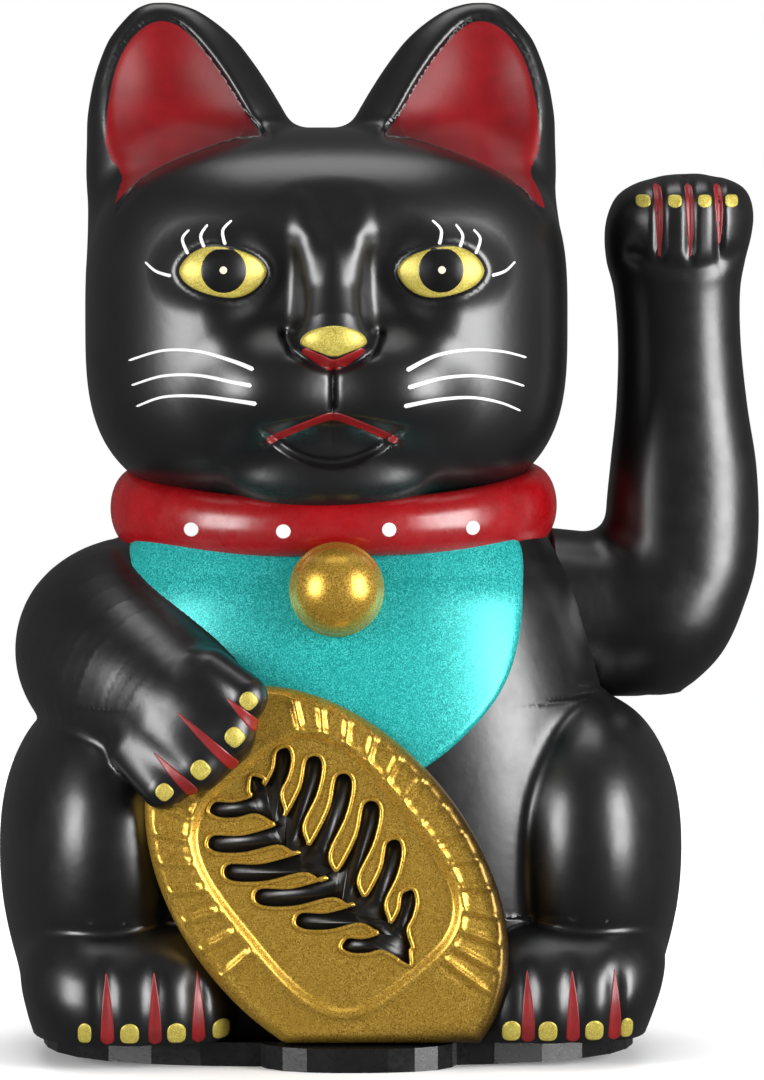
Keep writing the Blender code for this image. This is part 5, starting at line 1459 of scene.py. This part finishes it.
def worn_metal(name, dark, light, roughness, metallic=1.0):
    paint = Paint(name)
    paint.colour(paint.ramp(paint.noise(300, 5, 0.65), [(0.3, dark), (0.7, light)]))
    paint.roughness(paint.span(paint.noise(700, 4), 0.3, 0.7, roughness - 0.08, roughness + 0.1))
    paint.bump(paint.noise(1500, 3), 0.00002, 0.5)
    paint.set(Metallic=metallic)
    return paint


def wound_wire():
    paint = Paint("wound_copper_wire")
    wave = paint.nodes.new("ShaderNodeTexWave")
    wave.bands_direction = "Z"
    wave.inputs["Scale"].default_value = 900
    wave.inputs["Distortion"].default_value = 0.4
    paint.links.new(paint.place, wave.inputs["Vector"])
    paint.colour(paint.ramp(wave.outputs["Fac"], [(0.1, (0.22, 0.07, 0.03)), (0.8, (0.72, 0.34, 0.17))]))
    paint.roughness(paint.span(paint.noise(600, 3), 0.3, 0.7, 0.28, 0.4))
    paint.bump(wave.outputs["Fac"], 0.0001, 0.7)
    paint.set(Metallic=0.9)
    return paint


def dress_frame():
    base = moulded("base_black_plastic", (0.003, 0.003, 0.0034), (0.007, 0.007, 0.0075), 0.30)
    white = moulded("white_plastic", (0.60, 0.59, 0.56), (0.72, 0.71, 0.68), 0.48)
    black = moulded("black_plastic", (0.018, 0.018, 0.018), (0.032, 0.032, 0.032), 0.5)
    steel = worn_metal("bright_steel", (0.42, 0.42, 0.43), (0.62, 0.62, 0.63), 0.32)
    brass = worn_metal("brass", (0.48, 0.34, 0.14), (0.74, 0.55, 0.26), 0.34)
    magnet = worn_metal("nickelled_magnet", (0.46, 0.45, 0.43), (0.66, 0.65, 0.62), 0.2)
    copper = wound_wire()
    board = moulded("green_circuit_board", (0.010, 0.11, 0.045), (0.018, 0.17, 0.07), 0.36)
    jacket = worn_metal("cell_jacket", (0.06, 0.075, 0.09), (0.10, 0.12, 0.14), 0.3, 0.4)
    red_lead = moulded("red_lead_jacket", (0.34, 0.02, 0.015), (0.46, 0.035, 0.025), 0.45)
    black_lead = moulded("black_lead_jacket", (0.014, 0.014, 0.014), (0.024, 0.024, 0.024), 0.45)
    finishes = {
        "base_plate": base, "battery_door": base, "switch_housing": black, "switch_knob": white,
        "battery_cell": jacket, "battery_spring": steel, "battery_contact": steel, "circuit_board": board,
        "drive_transistor": black, "capacitor": jacket, "coil_bobbin": white, "coil_winding": copper,
        "mechanism_frame": white, "bearing_bush_inner": brass, "bearing_bush_outer": brass,
        "lead_coil": red_lead, "lead_battery_plus": red_lead, "lead_battery_minus": black_lead,
        "lead_switch": black_lead, "arm_hub": white, "pivot_axle": steel, "axle_clip_inner": black,
        "axle_clip_outer": black, "pendulum_lever": white, "pendulum_magnet": magnet, "counterweight": steel,
        "counterweight_screw": steel,
    }
    for name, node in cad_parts.items():
        paint = finishes.get(name, steel if "screw" in name else base)
        node.data.materials.clear()
        node.data.materials.append(paint.material)


dress_frame()


# ---- floor, light and camera ---------------------------------------------------------------------
def make_floor():
    radius, corners = 600.0, 128
    angle = np.linspace(0, 2 * np.pi, corners, endpoint=False)
    edge = np.stack([radius * np.cos(angle), radius * np.sin(angle), np.zeros(corners)], axis=1)
    floor = new_object("floor", edge, [list(range(corners))])
    paint = Paint("pale_floor")
    paint.colour(paint.ramp(paint.noise(4, 3), [(0.3, (0.86, 0.86, 0.86)), (0.7, (0.89, 0.89, 0.89))]))
    paint.roughness(paint.span(paint.noise(30, 3), 0.3, 0.7, 0.55, 0.65))
    floor.data.materials.append(paint.material)
    floor.visible_glossy = False


def soft_light(name, place, aim, size, power):
    light = bpy.data.lights.new(name, "AREA")
    light.shape = "RECTANGLE"
    light.size, light.size_y = size
    light.energy = power
    lamp = bpy.data.objects.new(name, light)
    bpy.context.scene.collection.objects.link(lamp)
    lamp.location = place
    lamp.rotation_mode = "QUATERNION"
    lamp.rotation_quaternion = (Vector(aim) - Vector(place)).to_track_quat("-Z", "Y")
    return lamp


def make_light():
    middle = (0.0, 0.0, 0.1)
    soft_light("softbox_left", (-0.80, -0.50, 0.24), middle, (0.40, 0.55), 11.0)
    soft_light("softbox_right", (0.80, -0.52, 0.24), middle, (0.50, 0.68), 18.0)
    soft_light("softbox_top", (0.0, 0.10, 1.0), (0.0, 0.0, 0.0), (0.7, 0.5), 4.0)
    back = soft_light("softbox_back", (0.0, 0.85, 0.8), (0.0, 0.35, 0.0), (1.0, 0.5), 9.0)
    back.visible_glossy = False
    make_world()


def make_world():
    """White to the camera, and dimmer in reflections and on the object itself."""
    world = bpy.data.worlds.new("studio")
    bpy.context.scene.world = world
    world.use_nodes = True
    nodes, links = world.node_tree.nodes, world.node_tree.links
    path = nodes.new("ShaderNodeLightPath")
    seen = None
    for ray, brightness in (("Is Glossy Ray", 0.10), ("Is Camera Ray", 1.0)):
        mix = nodes.new("ShaderNodeMix")
        mix.data_type = "RGBA"
        links.new(path.outputs[ray], mix.inputs["Factor"])
        otherwise, chosen = [s for s in mix.inputs if s.type == "RGBA"]
        otherwise.default_value = (0.55, 0.55, 0.55, 1)
        chosen.default_value = (brightness, brightness, brightness, 1)
        if seen is not None:
            links.new(seen, otherwise)
        seen = [s for s in mix.outputs if s.type == "RGBA"][0]
    links.new(seen, nodes["Background"].inputs["Color"])


def make_camera():
    distance, height, yaw = 1.5, 0.19, math.radians(2.5)
    camera = bpy.data.cameras.new("camera")
    camera.sensor_fit = "VERTICAL"
    camera.sensor_height = 36.0
    camera.sensor_width = 36.0
    camera.lens = 259.0
    holder = bpy.data.objects.new("camera", camera)
    bpy.context.scene.collection.objects.link(holder)
    holder.location = (-math.sin(yaw) * distance, -math.cos(yaw) * distance, height)
    aim = Vector((0.0087, -0.0004, 0.0963))
    holder.rotation_mode = "QUATERNION"
    holder.rotation_quaternion = (aim - holder.location).to_track_quat("-Z", "Y")
    bpy.context.scene.camera = holder


make_floor()
make_light()
make_camera()
bpy.context.scene.view_settings.view_transform = "Standard"
